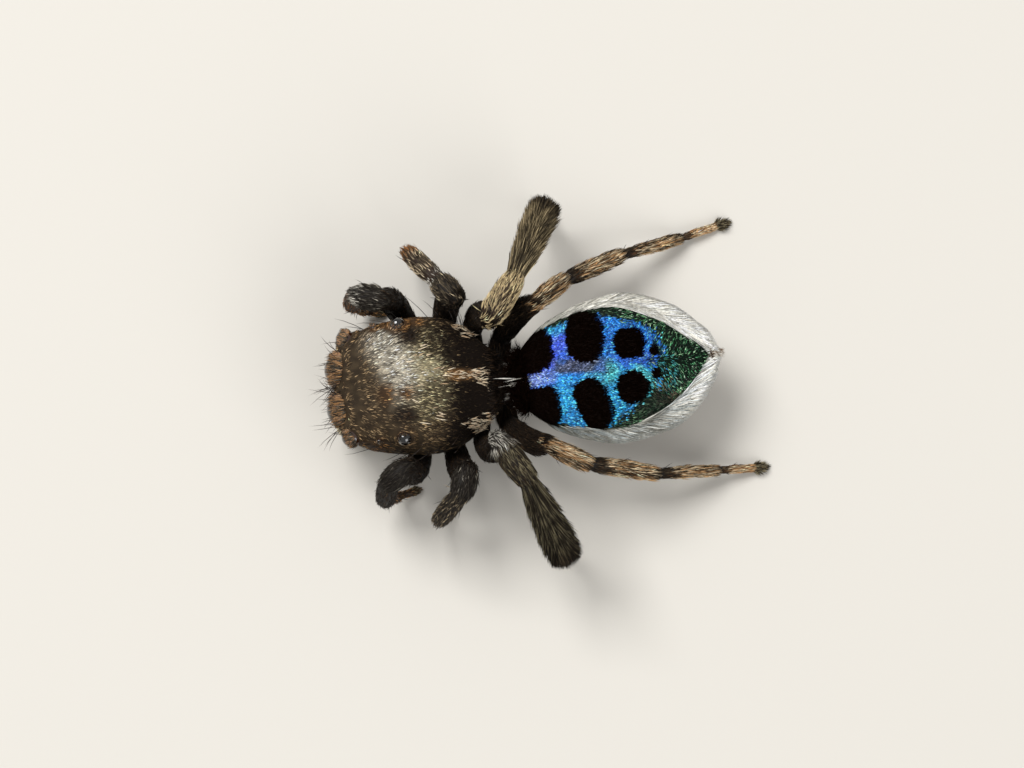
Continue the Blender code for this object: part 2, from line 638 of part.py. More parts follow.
def make_leg(parts, pair, side, side_name):
    """Five parts of one leg, each its own piece, with the brush on the third leg's tibia."""
    sizes = PAIRS[pair]
    joints = leg_joints(pair, side, side_name)
    colour = "dark_leg" if pair < 4 else "pale_leg"
    headings = [(b - a).normalized() for a, b in zip(joints[2:], joints[3:])]
    path = femur_path(joints, sizes["bow"], side)
    radius = sizes["radii"][0] * MM
    girth = [COXA_RADIUS * f for f in COXA_FULLNESS] + [radius * f for f in THIGH_FULLNESS]
    rise = (path[-1] - path[-2]).normalized()
    path.append(path[-1] + rise * radius * 1.5)
    girth.append(radius * JOINT_FULLNESS)
    femur = tube(path, girth)
    plane = (rise + headings[0]).normalized()
    trim(femur, joints[2] - plane * (GAP / 2), -plane)
    thigh = add_object(f"leg_{pair}_{side_name}_femur", femur, parts, finish("dark_leg", 0.7))
    combine(thigh, [shaped_ball(28, 18, lambda polar, turn: carapace_point(polar, turn, 2 * GAP))], "DIFFERENCE")

    arrivals = [rise] + headings
    for i, part in enumerate(PARTS[1:]):
        start, end = joints[i + 2], joints[i + 3]
        radius = sizes["radii"][i + 1] * MM
        after = headings[i + 1] if i < 3 else None
        mesh = leg_part(start, end, radius, arrivals[i], after)
        if part == "tarsus":
            mesh = trim(mesh, Vector((0, 0, 0)), Vector((0, 0, 1)))
        name = f"leg_{pair}_{side_name}_{part}"
        obj = add_object(name, mesh, parts, finish(colour, 0.7))
        if pair == 3 and part == "tibia":
            obj.data.materials.clear()
            obj.data.materials.append(finish("brush", 0.8))
            locks = brush_locks(start, end, radius, BRUSH_SPLAY[side_name], random.Random(BRUSH_SEEDS[side_name]))
            combine(obj, locks, "UNION", "MANIFOLD")
            plane = (headings[i] + headings[i + 1]).normalized()
            below = end - plane * (0.9 * GAP)
            room = leg_part(below, joints[i + 4], sizes["radii"][i + 2] * MM + GAP, headings[i], None)
            combine(obj, [room], "DIFFERENCE", "MANIFOLD")


def build():
    clear_scene()
    parts = new_collection("peacock_spider")
    make_carapace(parts)
    make_eyes(parts)
    make_underside(parts)
    make_jaws_and_palps(parts)
    make_abdomen(parts)
    make_pedicel(parts)
    for pair in PAIRS:
        for side, side_name in ((-1, "right"), (1, "left")):
            make_leg(parts, pair, side, side_name)


build()
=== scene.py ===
"""Male peacock spider, life size: skin, scales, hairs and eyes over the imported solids.

Metres, +Z up, head toward -Y, the spider's left side toward +X. Sizes below are in millimetres until a mesh
is written, and every surface is a function of two shares: u from front to rear or root to tip, v round it.
"""

import math

import bpy
import numpy as np
from mathutils import Matrix


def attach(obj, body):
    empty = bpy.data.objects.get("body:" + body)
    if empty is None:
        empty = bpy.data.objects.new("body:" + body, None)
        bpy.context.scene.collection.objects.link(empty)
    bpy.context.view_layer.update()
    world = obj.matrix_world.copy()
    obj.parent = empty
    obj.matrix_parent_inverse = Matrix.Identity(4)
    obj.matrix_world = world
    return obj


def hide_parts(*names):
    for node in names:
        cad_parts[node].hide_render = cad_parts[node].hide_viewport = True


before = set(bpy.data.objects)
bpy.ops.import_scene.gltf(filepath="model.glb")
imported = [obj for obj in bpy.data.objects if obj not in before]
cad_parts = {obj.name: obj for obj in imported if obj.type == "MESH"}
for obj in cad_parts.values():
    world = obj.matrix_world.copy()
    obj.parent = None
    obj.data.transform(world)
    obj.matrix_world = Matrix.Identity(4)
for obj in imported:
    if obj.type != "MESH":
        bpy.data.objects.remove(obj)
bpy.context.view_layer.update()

# The shell over head and thorax is one hard plate of dark cuticle, high and square at the face and sloping
# down to the waist. It is moulded round the eyes, and the skin lies just under its coat of scales.
MM = 0.001
SHELL_FRONT, SHELL_BACK = -2.66, -0.64
SHELL_STATIONS = (0.0, 0.12, 0.27, 0.42, 0.57, 0.72, 0.86, 1.0)
SHELL_HALF_WIDTHS = (0.75, 0.79, 0.84, 0.875, 0.885, 0.85, 0.73, 0.56)
SHELL_TOPS = (1.32, 1.43, 1.54, 1.61, 1.57, 1.38, 1.12, 0.90)
SHELL_FLANK, SHELL_UNDERSIDE = 0.84, 0.60
SHELL_YAW = math.radians(-1.6)
COAT_DEPTH = 0.02
EYES = {
    "anterior_median": dict(radius=0.225, x=0.255, y=-2.625, z=1.03, look=(0.10, -1.0, 0.03)),
    "anterior_lateral": dict(radius=0.130, x=0.625, y=-2.550, z=1.12, look=(0.45, -1.0, 0.10)),
    "posterior_median": dict(radius=0.035, x=0.735, y=-2.200, z=1.34, look=(1.0, 0.0, 0.5)),
    "posterior_lateral": dict(radius=0.095, x=0.725, y=-1.880, z=1.44, look=(0.9, 0.25, 0.75)),
}


def profile(stations, values, at):
    """A smooth curve through stations: a cubic between each two, with the slopes of their neighbours."""
    stations, values = np.asarray(stations, float), np.asarray(values, float)
    slopes = np.gradient(values, stations)
    i = np.clip(np.searchsorted(stations, at) - 1, 0, len(stations) - 2)
    step = stations[i + 1] - stations[i]
    u = np.clip((at - stations[i]) / step, 0.0, 1.0)
    start = (2 * u**3 - 3 * u**2 + 1) * values[i] + (u**3 - 2 * u**2 + u) * step * slopes[i]
    return start + (3 * u**2 - 2 * u**3) * values[i + 1] + (u**3 - u**2) * step * slopes[i + 1]


def squared(value, power):
    """The value with its sign kept and its size raised to a power: below 1 it makes a round form boxier."""
    return np.sign(value) * np.abs(value) ** power


def ramp(value, low, high):
    """From 0 at low to 1 at high along a smooth S."""
    t = np.clip((value - low) / (high - low), 0.0, 1.0)
    return t * t * (3 - 2 * t)


def turned(points, angle, pivot):
    """Points turned about an upright axis through a pivot: x cos - y sin, x sin + y cos."""
    x, y = points[..., 0] - pivot[0], points[..., 1] - pivot[1]
    cos, sin = math.cos(angle), math.sin(angle)
    return np.stack([pivot[0] + x * cos - y * sin, pivot[1] + x * sin + y * cos, points[..., 2]], axis=-1)


def eye_centre(eye, side):
    """An eye's centre, turned with the shell."""
    return turned(np.array([side * eye["x"], eye["y"], eye["z"]]), SHELL_YAW, (0.0, SHELL_FRONT))


def shell(u, v, lift=-COAT_DEPTH):
    """A boxy section, |x/width|^(2/b) + |z/height|^(2/b) = size^(2/b), whose half width and top follow the
    stations. Along the shell size^(2/e) + |s|^(2/e) = 1, with s from -1 to 1, and a low collar rises round
    each eye."""
    turn = 2 * np.pi * v
    s = -np.cos(np.pi * u)
    bluntness = np.where(s < 0, 0.40, 0.66)
    y = (SHELL_FRONT + SHELL_BACK) / 2 + ((SHELL_BACK - SHELL_FRONT) / 2 + lift) * s
    size = np.maximum(1 - np.abs(s) ** (2 / bluntness), 0.0) ** (bluntness / 2)
    share = (y - SHELL_FRONT) / (SHELL_BACK - SHELL_FRONT)
    width = profile(SHELL_STATIONS, SHELL_HALF_WIDTHS, share) + lift
    top = profile(SHELL_STATIONS, SHELL_TOPS, share) + lift
    height = np.where(np.sin(turn) > 0, top - SHELL_FLANK, SHELL_FLANK - SHELL_UNDERSIDE + lift)
    boxiness = 0.60 + 0.25 * np.maximum(0.0, 2 * share - 1)
    cos, sin = np.cos(turn), np.sin(turn)
    reach = size * (np.abs(cos) ** (2 / boxiness) + np.abs(sin) ** (2 / boxiness)) ** (-boxiness / 2)
    x = width * reach * cos
    z = SHELL_FLANK + height * reach * sin
    points = turned(np.stack([x, y, z], axis=-1), SHELL_YAW, (0.0, SHELL_FRONT))
    for eye in EYES.values():
        for side in (-1, 1):
            away = points - eye_centre(eye, side)
            distance = np.linalg.norm(away, axis=-1, keepdims=True)
            collar = 0.045 * math.sqrt(eye["radius"] / 0.13)
            rise = collar * np.exp(-((distance - eye["radius"]) / (0.30 * eye["radius"] + 0.02)) ** 2)
            outward = np.stack([x * 0.9, (y + 1.9) * 0.9, z - 0.9], axis=-1)
            points = points + rise * outward / np.linalg.norm(outward, axis=-1, keepdims=True)
    return points


def surface_frame(surface, u, v):
    """Points of a surface, outward normals and area per unit of u and v, from difference quotients."""
    e = 2e-4
    du = surface(np.minimum(u + e, 1.0), v) - surface(np.maximum(u - e, 0.0), v)
    dv = surface(u, v + e) - surface(u, v - e)
    cross = np.cross(du, dv)
    size = np.linalg.norm(cross, axis=-1)
    return surface(u, v), cross / np.maximum(size, 1e-12)[..., None], size / (4 * e * e)


def paint(code):
    """An sRGB hex colour as linear light: ((c + 0.055) / 1.055)^2.4 above the short straight start."""
    c = np.array([int(code[i:i + 2], 16) for i in (1, 3, 5)]) / 255
    return np.where(c <= 0.04045, c / 12.92, ((c + 0.055) / 1.055) ** 2.4)


def mixed(first, second, share):
    """Two colours, or rows of colours, mixed by a share for each row."""
    share = np.asarray(share)[..., None]
    return first * (1 - share) + second * share


def mottle(points, size, seed):
    """Blotches about size mm across, from 0 to 1: a sum of nine plane waves with seeded headings and phases."""
    draw = np.random.default_rng(seed)
    heading = draw.normal(size=(9, 3))
    heading /= np.linalg.norm(heading, axis=1, keepdims=True)
    waves = points @ heading.T * (np.pi / size * draw.uniform(0.7, 1.5, 9)) + draw.uniform(0, 2 * np.pi, 9)
    return np.clip(0.5 + np.sin(waves).sum(axis=-1) / 6.5, 0.0, 1.0)


def add_node(tree, kind, inputs=(), **settings):
    """One shader node, with its settings, and its inputs given as values or as the sockets that feed them."""
    node = tree.nodes.new(kind)
    for name, value in settings.items():
        setattr(node, name, value)
    for name, value in dict(inputs).items():
        if isinstance(value, bpy.types.NodeSocket):
            tree.links.new(value, node.inputs[name])
        else:
            node.inputs[name].default_value = value
    return node


def finish(name, fibre, roughness, specular, **others):
    """A coat or skin: its own colour attribute, clouded a little over a fibre's length in mm, and a fine bump
    of the same grain. The roughness, the specular level and the others are the shader's own."""
    material = bpy.data.materials.new(name)
    material.use_nodes = True
    tree = material.node_tree
    tree.nodes.clear()
    own = add_node(tree, "ShaderNodeAttribute", attribute_name="tint")
    place = add_node(tree, "ShaderNodeTexCoord")
    grain = add_node(tree, "ShaderNodeTexNoise",
                     {"Vector": place.outputs["Object"], "Scale": 1 / (fibre * MM), "Detail": 2.0})
    cloud = add_node(tree, "ShaderNodeMapRange",
                     {"Value": grain.outputs["Fac"], "From Min": 0.3, "From Max": 0.7,
                      "To Min": 0.80, "To Max": 1.15})
    tinted = add_node(tree, "ShaderNodeVectorMath",
                      {0: own.outputs["Color"], 1: cloud.outputs["Result"]}, operation="MULTIPLY")
    bump = add_node(tree, "ShaderNodeBump",
                    {"Height": grain.outputs["Fac"], "Strength": 0.35, "Distance": fibre * MM * 0.3})
    shader = add_node(tree, "ShaderNodeBsdfPrincipled",
                      {"Base Color": tinted.outputs["Vector"], "Normal": bump.outputs["Normal"],
                       "Roughness": roughness, "Specular IOR Level": specular, **others})
    add_node(tree, "ShaderNodeOutputMaterial", {"Surface": shader.outputs["BSDF"]})
    return material


def write_mesh(name, points, corners, starts, tint, material, patch=None):
    """Puts whole arrays into a smooth mesh: points in mm, corner indices, first corner of each face, a colour
    for each point and, for a coat, the place of each corner on its unwrap."""
    mesh = bpy.data.meshes.new(name)
    mesh.vertices.add(len(points))
    mesh.vertices.foreach_set("co", (points * MM).astype(np.float32).ravel())
    mesh.loops.add(len(corners))
    mesh.loops.foreach_set("vertex_index", corners.astype(np.int32))
    mesh.polygons.add(len(starts))
    mesh.polygons.foreach_set("loop_start", starts.astype(np.int32))
    mesh.update(calc_edges=True)
    mesh.polygons.foreach_set("use_smooth", np.ones(len(starts), bool))
    colours = mesh.color_attributes.new("tint", "FLOAT_COLOR", "POINT")
    colours.data.foreach_set("color", np.column_stack([tint, np.ones(len(tint))]).astype(np.float32).ravel())
    if patch is not None:
        layer = mesh.uv_layers.new(name="OFBake")
        layer.data.foreach_set("uv", patch[corners].astype(np.float32).ravel())
    mesh.materials.append(material)
    piece = bpy.data.objects.new(name, mesh)
    bpy.context.scene.collection.objects.link(piece)
    return piece


def skin_mesh(name, surface, rows, columns, colour, material):
    """A closed surface as rows between two poles: point (i, j) at shares i / rows and j / columns, quads
    between them and a fan of triangles at each pole. Faces point out."""
    u, v = np.meshgrid(np.arange(1, rows) / rows, np.arange(columns) / columns, indexing="ij")
    ends = surface(np.array([0.0, 1.0]), np.array([0.25, 0.25]))
    points = np.concatenate([surface(u.ravel(), v.ravel()), ends])
    i, j = np.meshgrid(np.arange(rows - 2), np.arange(columns), indexing="ij")
    here, beside = i * columns + j, i * columns + (j + 1) % columns
    quads = np.stack([here, here + columns, beside + columns, beside], axis=-1).reshape(-1, 4)
    j = np.arange(columns)
    first, last = (rows - 1) * columns, (rows - 2) * columns
    front = np.stack([np.full(columns, first), j, (j + 1) % columns], axis=-1)
    rear = np.stack([np.full(columns, first + 1), last + (j + 1) % columns, last + j], axis=-1)
    corners = np.concatenate([quads.ravel(), front.ravel(), rear.ravel()])
    starts = np.concatenate([np.arange(len(quads)) * 4, len(quads) * 4 + np.arange(2 * columns) * 3])
    u, v = np.append(u.ravel(), [0.0, 1.0]), np.append(v.ravel(), [0.25, 0.25])
    return write_mesh(name, points, corners, starts, colour(points, u, v), material)


def fit(piece, slot, *nodes):
    """Lets a piece ride on the model's one body, in place of the CAD nodes it stands for."""
    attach(piece, "root")
    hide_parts(*nodes)


SHELL_BLACK, SHELL_BROWN, SHELL_UMBER = paint("#130c07"), paint("#3f2f20"), paint("#98805f")
SHELL_OLIVE, SHELL_SILVER_AND_SHEEN, SHELL_MOSS = paint("#e4d5ab"), paint("#f4e9d2"), paint("#c8b88e")
SHELL_RUST, SHELL_CREAM = paint("#b3824f"), paint("#f0e0c4")


def patch_share(x, y, middle, half, tilt=0.0, soft=0.35):
    """1 inside an ellipse about a middle, falling to 0 outside its edge over a soft share of its size."""
    cos, sin = math.cos(math.radians(tilt)), math.sin(math.radians(tilt))
    across = (x - middle[0]) * cos + (y - middle[1]) * sin
    along = (y - middle[1]) * cos - (x - middle[0]) * sin
    reach = np.sqrt((across / half[0]) ** 2 + (along / half[1]) ** 2)
    return 1 - ramp(reach, 1 - soft, 1 + soft)


# Patches of scales: middle x and y, half sizes across and along, tilt, softness, tone and share of pale ones.
SHELL_PATCHES = (
    (0.02, -1.60, 0.48, 0.36, 0, 0.50, SHELL_MOSS, 0.74),
    (-0.06, -1.66, 0.34, 0.34, 0, 0.60, SHELL_OLIVE, 0.90),
    (0.30, -1.62, 0.20, 0.30, 20, 0.60, SHELL_MOSS, 0.58),
    # The three silvery patches are partly pale scales and partly a painted highlight on the head.
    (-0.26, -1.99, 0.30, 0.20, 12, 0.85, SHELL_SILVER_AND_SHEEN, 0.95),
    (-0.46, -2.12, 0.20, 0.18, 20, 0.90, SHELL_SILVER_AND_SHEEN, 0.78),
    (0.04, -1.90, 0.26, 0.17, 0, 0.90, SHELL_SILVER_AND_SHEEN, 0.82),
    (0.19, -2.10, 0.12, 0.09, 0, 0.80, SHELL_RUST, 0.50),
    (0.21, -1.84, 0.08, 0.07, 0, 0.80, SHELL_RUST, 0.60),
    (-0.53, -1.76, 0.12, 0.13, 0, 0.80, SHELL_BROWN, 0.12),
    (-0.44, -1.46, 0.20, 0.18, 0, 0.50, SHELL_MOSS, 0.36),
    (0.47, -1.86, 0.10, 0.12, 0, 0.85, SHELL_BROWN, 0.20),
)


def dusted(pale, share, tone, where, amount):
    """The pale colour mixed toward a tone over a patch, and the share of pale scales raised there."""
    return mixed(pale, tone, where), np.maximum(share, amount * where)


def shell_markings(points):
    """The pale colour of the shell's scales and the share of pale scales among the dark ones. Umber over the
    head with a silvery patch, partly pale scales and partly a painted highlight, olive behind it, velvet
    black at the rear with a rust and cream stripe and a cream patch on each flank, rust round the eyes and
    pale hairs on the face."""
    x, y, z = points.T
    blotch, cloud = mottle(points, 0.07, 3), mottle(points, 0.20, 4)
    pale = np.broadcast_to(SHELL_UMBER, points.shape)
    share = 0.59 + 0.16 * (blotch - 0.5)
    for px, py, across, along, tilt, soft, tone, amount in SHELL_PATCHES:
        inside = patch_share(x, y, (px, py), (across, along), tilt, soft) * (z > 0.9)
        pale, share = mixed(pale, tone, inside), share * (1 - inside) + amount * inside
    share = share * (0.85 + 0.3 * blotch)
    black = ramp(y + 0.22 * (blotch - 0.5) + 0.12 * (cloud - 0.5) + 0.12 * np.abs(x + 0.05), -1.36, -1.13)
    black = np.maximum(black, ramp(y, -1.75, -1.45) * (1 - ramp(z, 0.95, 1.25)))
    share = share * (1 - 0.985 * black)
    stripe = patch_share(x, y, (-0.02, -1.16), (0.085, 0.34), 2, 0.35)
    before = mixed(SHELL_OLIVE, SHELL_RUST * 1.3, ramp(y, -1.42, -1.22))
    tone = mixed(before, mixed(SHELL_CREAM, SHELL_RUST, 0.72), ramp(y, -1.12, -0.92))
    pale, share = dusted(pale, share, tone, stripe, 0.85 - 0.45 * ramp(y, -1.0, -0.85))
    for eye in EYES.values():
        for side in (-1, 1):
            near = np.linalg.norm(points - eye_centre(eye, side), axis=1) - eye["radius"]
            rust = (1 - ramp(near, 0.02, 0.08)) * (1 - 0.85 * ramp(y, -2.72, -2.64) * (y < -2.3))
            rust = rust * (0.80 if side < 0 else 0.15 if eye["radius"] < 0.1 else 0.55)
            pale, share = dusted(pale, share, SHELL_RUST, rust, 0.55)
    right_rim = ramp(-x, 0.62, 0.70) * ramp(y, -2.30, -2.10) * (1 - ramp(y, -1.62, -1.52))
    right_rim = right_rim * ramp(z, 1.0, 1.25)
    pale, share = dusted(pale, share, SHELL_RUST * 0.95, right_rim, 0.60)
    brow_ends = ramp(np.abs(x), 0.66, 0.78) * (1 - ramp(y, -2.25, -2.05))
    pale, share = dusted(pale, share, SHELL_RUST * 0.8, brow_ends, 0.4)
    face = ramp(-y, 2.50, 2.62) * (1 - ramp(z, 0.80, 0.95))
    pale, share = dusted(pale, share, SHELL_CREAM * 0.85, face, 0.8)
    return pale, np.clip(share, 0.0, 1.0)


def shell_skin_colour(points, u, v):
    """Dark cuticle that takes a little of its scales' colour."""
    pale, share = shell_markings(points)
    glow = pale * (0.24 + 0.22 * ramp(share, 0.75, 0.95))[:, None]
    return mixed(np.broadcast_to(SHELL_BLACK, points.shape), glow, share ** 1.5 * 0.8)


# Dark cuticle, sclerotised and matt: it gives a soft brown-black ground between the scales.
cuticle = finish("dark_scaly_cuticle", 0.012, roughness=0.7, specular=0.12)
shell_skin = skin_mesh("shell_skin", shell, 150, 200, shell_skin_colour, cuticle)
fit(shell_skin, "dark_shell", "carapace")


# The shell's coat is of narrow, flat, tapered scales about 0.1 mm long, each rooted in the cuticle. They lie
# toward the rear over one another, and down the face.
TUFT_PATCH = 0.003


def spread(surface, count, density, seed, cells=(300, 240)):
    """Roots spread over a surface in proportion to its area times a density. The weights of a fine net of cells
    are summed, the sum is stepped through evenly, and each root is shifted at random inside its cell."""
    draw = np.random.default_rng(seed)
    middles = [(np.arange(number) + 0.5) / number for number in cells]
    u, v = np.meshgrid(*middles, indexing="ij")
    u, v = u.ravel(), v.ravel()
    points, out, area = surface_frame(surface, u, v)
    total = np.cumsum(area * density(points, out))
    cell = np.searchsorted(total, (np.arange(count) + draw.random(count)) / count * total[-1])
    cell = np.minimum(cell, len(u) - 1)
    u = u[cell] + (draw.random(count) - 0.5) / cells[0]
    v = v[cell] + (draw.random(count) - 0.5) / cells[1]
    return np.clip(u, 0.001, 0.999), v % 1.0


def along_surface(heading, out):
    """The heading with its part along the normal taken away, at unit length."""
    flat = heading - out * (heading * out).sum(axis=-1, keepdims=True)
    return flat / np.maximum(np.linalg.norm(flat, axis=-1, keepdims=True), 1e-9)


def veer(lie, out, angle):
    """Headings turned about their normals: lie cos + (out x lie) sin."""
    return lie * np.cos(angle)[:, None] + np.cross(out, lie) * np.sin(angle)[:, None]


def tufts(name, root, lie, out, uv, length, width, thick, lift, curl, tint, tip_tint, material,
          rings=((0.0, 0.6), (0.45, 1.0)), sway=0.0, sink=0.012, floor=None):
    """Tapered blades with a three-sided section as one mesh. A blade's middle line is root + lie L t +
    out L (lift t - curl t^2) + side L sway t^2. Each ring has a share t and a share of the width, and the tip
    is a point. Each blade's corners share a small patch of the unwrap at the place of its root."""
    count = len(root)
    sizes = (length, width, thick, lift, curl, sway)
    length, width, thick, lift, curl, sway = (np.broadcast_to(size, count) for size in sizes)
    side = np.cross(lie, out)
    shares = np.array([t for t, _ in rings] + [1.0])
    widths = np.array([w for _, w in rings])
    reach = length[:, None] * shares
    rise = length[:, None] * (lift[:, None] * shares - curl[:, None] * shares**2) - sink
    middle = (root[:, None] + lie[:, None] * reach[..., None] + out[:, None] * rise[..., None]
              + side[:, None] * (length[:, None] * sway[:, None] * shares**2)[..., None])
    angles = np.radians([90.0, 210.0, 330.0])
    ring = (side[:, None, None] * (np.cos(angles)[:, None] * 0.5 * 1.155)
            * (width[:, None] * widths)[:, :, None, None]
            + out[:, None, None] * (np.sin(angles)[:, None] * 0.667)
            * (thick[:, None] * widths)[:, :, None, None])
    body = middle[:, :-1, None] + ring
    points = np.concatenate([body.reshape(count, -1, 3), middle[:, -1:]], axis=1)
    if floor is not None:
        points[..., 2] = np.maximum(points[..., 2], floor)
    k = len(rings)
    quads = [(3 * r + a, 3 * r + (a + 1) % 3, 3 * r + 3 + (a + 1) % 3, 3 * r + 3 + a)
             for r in range(k - 1) for a in range(3)]
    ends = [(3 * k - 3 + a, 3 * k - 3 + (a + 1) % 3, 3 * k) for a in range(3)] + [(2, 1, 0)]
    pattern = np.array([c for face in quads + ends for c in face])
    begins = np.append(0, np.cumsum([len(face) for face in quads + ends])[:-1])
    corners = (np.arange(count)[:, None] * (3 * k + 1) + pattern).ravel()
    starts = (np.arange(count)[:, None] * len(pattern) + begins).ravel()
    fade = np.append(shares[:-1] ** 1.5, 1.0)
    shade = np.append(np.where(shares[:-1] == 0, 0.45, 1.0), 1.0)
    colour = (tint[:, None] * (1 - fade)[:, None] + tip_tint[:, None] * fade[:, None]) * shade[:, None]
    colour = np.concatenate([np.repeat(colour[:, :-1], 3, axis=1), colour[:, -1:]], axis=1)
    across = np.append(np.tile([0.0, -0.5, 0.5], k), 0.0)
    along = np.append(np.repeat(shares[:-1], 3), 1.0)
    local = np.stack([across, along - 0.5], axis=-1) * TUFT_PATCH
    patch = (0.005 + 0.99 * np.asarray(uv))[:, None] + local
    return write_mesh(name, points.reshape(-1, 3), corners, starts, colour.reshape(-1, 3), material,
                      patch.reshape(-1, 2))


def picked(pale, dark, share, draw, spread_by=0.22):
    """One colour for each tuft: near the pale or near the dark one by its share of pale ones, each a little
    lighter or darker."""
    n = len(share)
    toward = np.where(draw.random(n) < share, draw.uniform(0.60, 1.0, n), draw.uniform(0.0, 0.16, n))
    chosen = mixed(np.broadcast_to(dark, (n, 3)), np.broadcast_to(pale, (n, 3)), toward)
    return np.clip(chosen * np.exp(draw.normal(0, spread_by, len(share)))[:, None], 0.0, 1.0)


def coat(name, surface, place, draw, heading, tones, material, length, width, thick, lift, curl,
         stray=None, bend=None, stretch=1.0, tip_tones=None, shades=(1.0, 1.0), **form):
    """Tufts at the shares (u, v) of a surface. Each lies flat along its heading, turned by a normal draw of
    the stray angle. Three tones are a pale colour, a dark one and the share of pale tufts. A pair of limits
    stands for an even draw between them, and bend for a normal draw of sway."""
    u, v = place
    count = len(u)
    root, out, _ = surface_frame(surface, u, v)
    lie = along_surface(heading(root, out) if callable(heading) else np.asarray(heading), out)
    if stray is not None:
        lie = veer(lie, out, draw.normal(0, stray, count))
    if isinstance(tones, tuple):
        pale, dark, share = tones
        tones = picked(pale, dark, np.broadcast_to(share, count), draw)
    tone = np.broadcast_to(tones(root, out) if callable(tones) else tones, (count, 3))
    tip = tone if tip_tones is None else tip_tones
    length, width, lift = (draw.uniform(*size, count) if isinstance(size, tuple) else size
                           for size in (length, width, lift))
    sway = 0.0 if bend is None else draw.normal(0, bend, count)
    return tufts(name, root, lie, out, np.stack([u, v], -1), length * stretch, width, thick, lift, curl,
                 np.clip(tone * shades[0], 0, 1), np.clip(tip * shades[1], 0, 1), material, sway=sway, **form)


def shell_lie(points, out):
    """Toward the rear, fanned a little to the sides, and down where the shell faces forward."""
    x = points[:, 0]
    heading = np.stack([0.35 * x, np.full(len(x), 1.0), np.full(len(x), -0.2)], axis=-1)
    heading[:, 2] -= 1.6 * ramp(-out[:, 1], 0.35, 0.9)
    return along_surface(heading, out)


def clear_of_eyes(points):
    """0 inside any eye's rim and 1 outside."""
    free = np.ones(len(points))
    for eye in EYES.values():
        for side in (-1, 1):
            free *= np.linalg.norm(points - eye_centre(eye, side), axis=1) > eye["radius"] * 1.04 + 0.004
    return free


def over_shell(points, out):
    """How thick the coat stands: thin underneath, and thickest on the silvery patch."""
    x, y, _ = points.T
    silver = patch_share(x, y, (-0.28, -2.03), (0.40, 0.26), 12, 0.7)
    facing_up = ramp(out[:, 2], -0.7, 0.1) * (0.5 + 0.5 * ramp(out[:, 2], 0.1, 0.6))
    return clear_of_eyes(points) * facing_up * (1 + silver)


# Flat scale hairs of chitin: a low sheen along their sides makes the coat look dry, not like wet fur.
scale_hair = finish("flat_chitin_hair", 0.03, roughness=0.62, specular=0.13)

for name, count, seed, length, width in (
        ("shell_scales", 18000, 11, (0.050, 0.085), (0.0128, 0.0200)),
        ("shell_hairs", 12000, 12, (0.075, 0.115), (0.0112, 0.0175))):
    draw = np.random.default_rng(seed)
    place = spread(shell, count, over_shell, seed)
    pale, share = shell_markings(shell(*place))
    dark = mixed(SHELL_BLACK[None], SHELL_BROWN[None] * 0.7, ramp(share, 0.05, 0.3) * 0.9)
    piece = coat(name, shell, place, draw, shell_lie, picked(pale, dark, share, draw, 0.50), scale_hair,
                 length, width, thick=0.006, lift=(0.10, 0.30), curl=0.12, stray=0.20, shades=(0.8, 1.2))
    fit(piece, "dark_shell", "carapace")


# Longer white and cream hairs lie in wisps on the shell: behind the stripe, on both flanks, and singly over the
# head. Each wisp: middle x and y, half sizes across and along, tilt in degrees and how thick it stands.
WISPS = (
    (-0.055, -0.90, 0.050, 0.14, 0, 2.6), (0.055, -0.90, 0.040, 0.12, 0, 2.0),
    (0.15, -0.79, 0.03, 0.05, 0, 0.8), (-0.69, -1.14, 0.05, 0.09, 25, 1.3),
    (-0.58, -1.06, 0.05, 0.07, 25, 1.0), (0.62, -1.05, 0.09, 0.13, -20, 1.5),
    (0.52, -0.85, 0.08, 0.11, -20, 1.2), (0.50, -1.50, 0.06, 0.06, 0, 0.5),
    (-0.02, -1.20, 0.06, 0.20, 0, 1.0), (0.62, -1.72, 0.06, 0.06, 0, 0.5),
    (0.0, -1.6, 0.45, 0.35, 0, 0.04),
)


def in_wisps(points, out):
    """The sum of the wisps' patches, kept off the eyes and the flanks."""
    x, y, z = points.T
    total = np.full(len(x), 1e-7)
    for px, py, across, along, tilt, amount in WISPS:
        total += amount * patch_share(x, y, (px, py), (across, along), tilt, 0.3)
    return total * (z > 0.7) * clear_of_eyes(points)


WISP_HAIRS = 420
draw = np.random.default_rng(15)
pale_wisps = coat("shell_pale_wisps", shell, spread(shell, WISP_HAIRS, in_wisps, 15), draw, shell_lie,
                  lambda p, n: mixed(SHELL_CREAM, SHELL_RUST, draw.random(len(p)) ** 2 * 0.8), scale_hair,
                  length=(0.10, 0.20), width=(0.010, 0.017), thick=0.008, lift=(0.12, 0.35), curl=0.15,
                  stray=0.09, bend=0.15, shades=(0.9, 1.1), rings=((0.0, 0.6), (0.3, 1.0), (0.7, 0.8)))
fit(pale_wisps, "dark_shell", "carapace")

# Black hairs trail from the rear edge over the waist. They are rooted in the shell, and close the gap to the
# abdomen from above.
TRAIL_HAIRS = 1500


def rear_edge(points, out):
    """1 on the shell's upper rear edge, and next to nothing elsewhere."""
    return ramp(points[:, 1], -0.86, -0.70) * ramp(out[:, 2], -0.5, 0.0) + 1e-7


draw = np.random.default_rng(16)
place = spread(shell, TRAIL_HAIRS, rear_edge, 16)
trail = coat("shell_rear_hairs", shell, place, draw, lambda p, n: np.array([0.0, 1.0, 0.15]) + n * 0.2,
             (SHELL_BROWN, SHELL_BLACK, 0.12), scale_hair, length=(0.10, 0.19), width=0.013, thick=0.008,
             lift=(0.3, 0.9), curl=0.3, stray=0.3)
fit(trail, "dark_shell", "carapace")

# Eight eyes of clear, glossy cornea over a dark retina, each sunk in its collar. The two big ones look forward,
# the others to the sides and up.
EYE_PUPIL, EYE_RIM = paint("#060404"), paint("#2c1509")

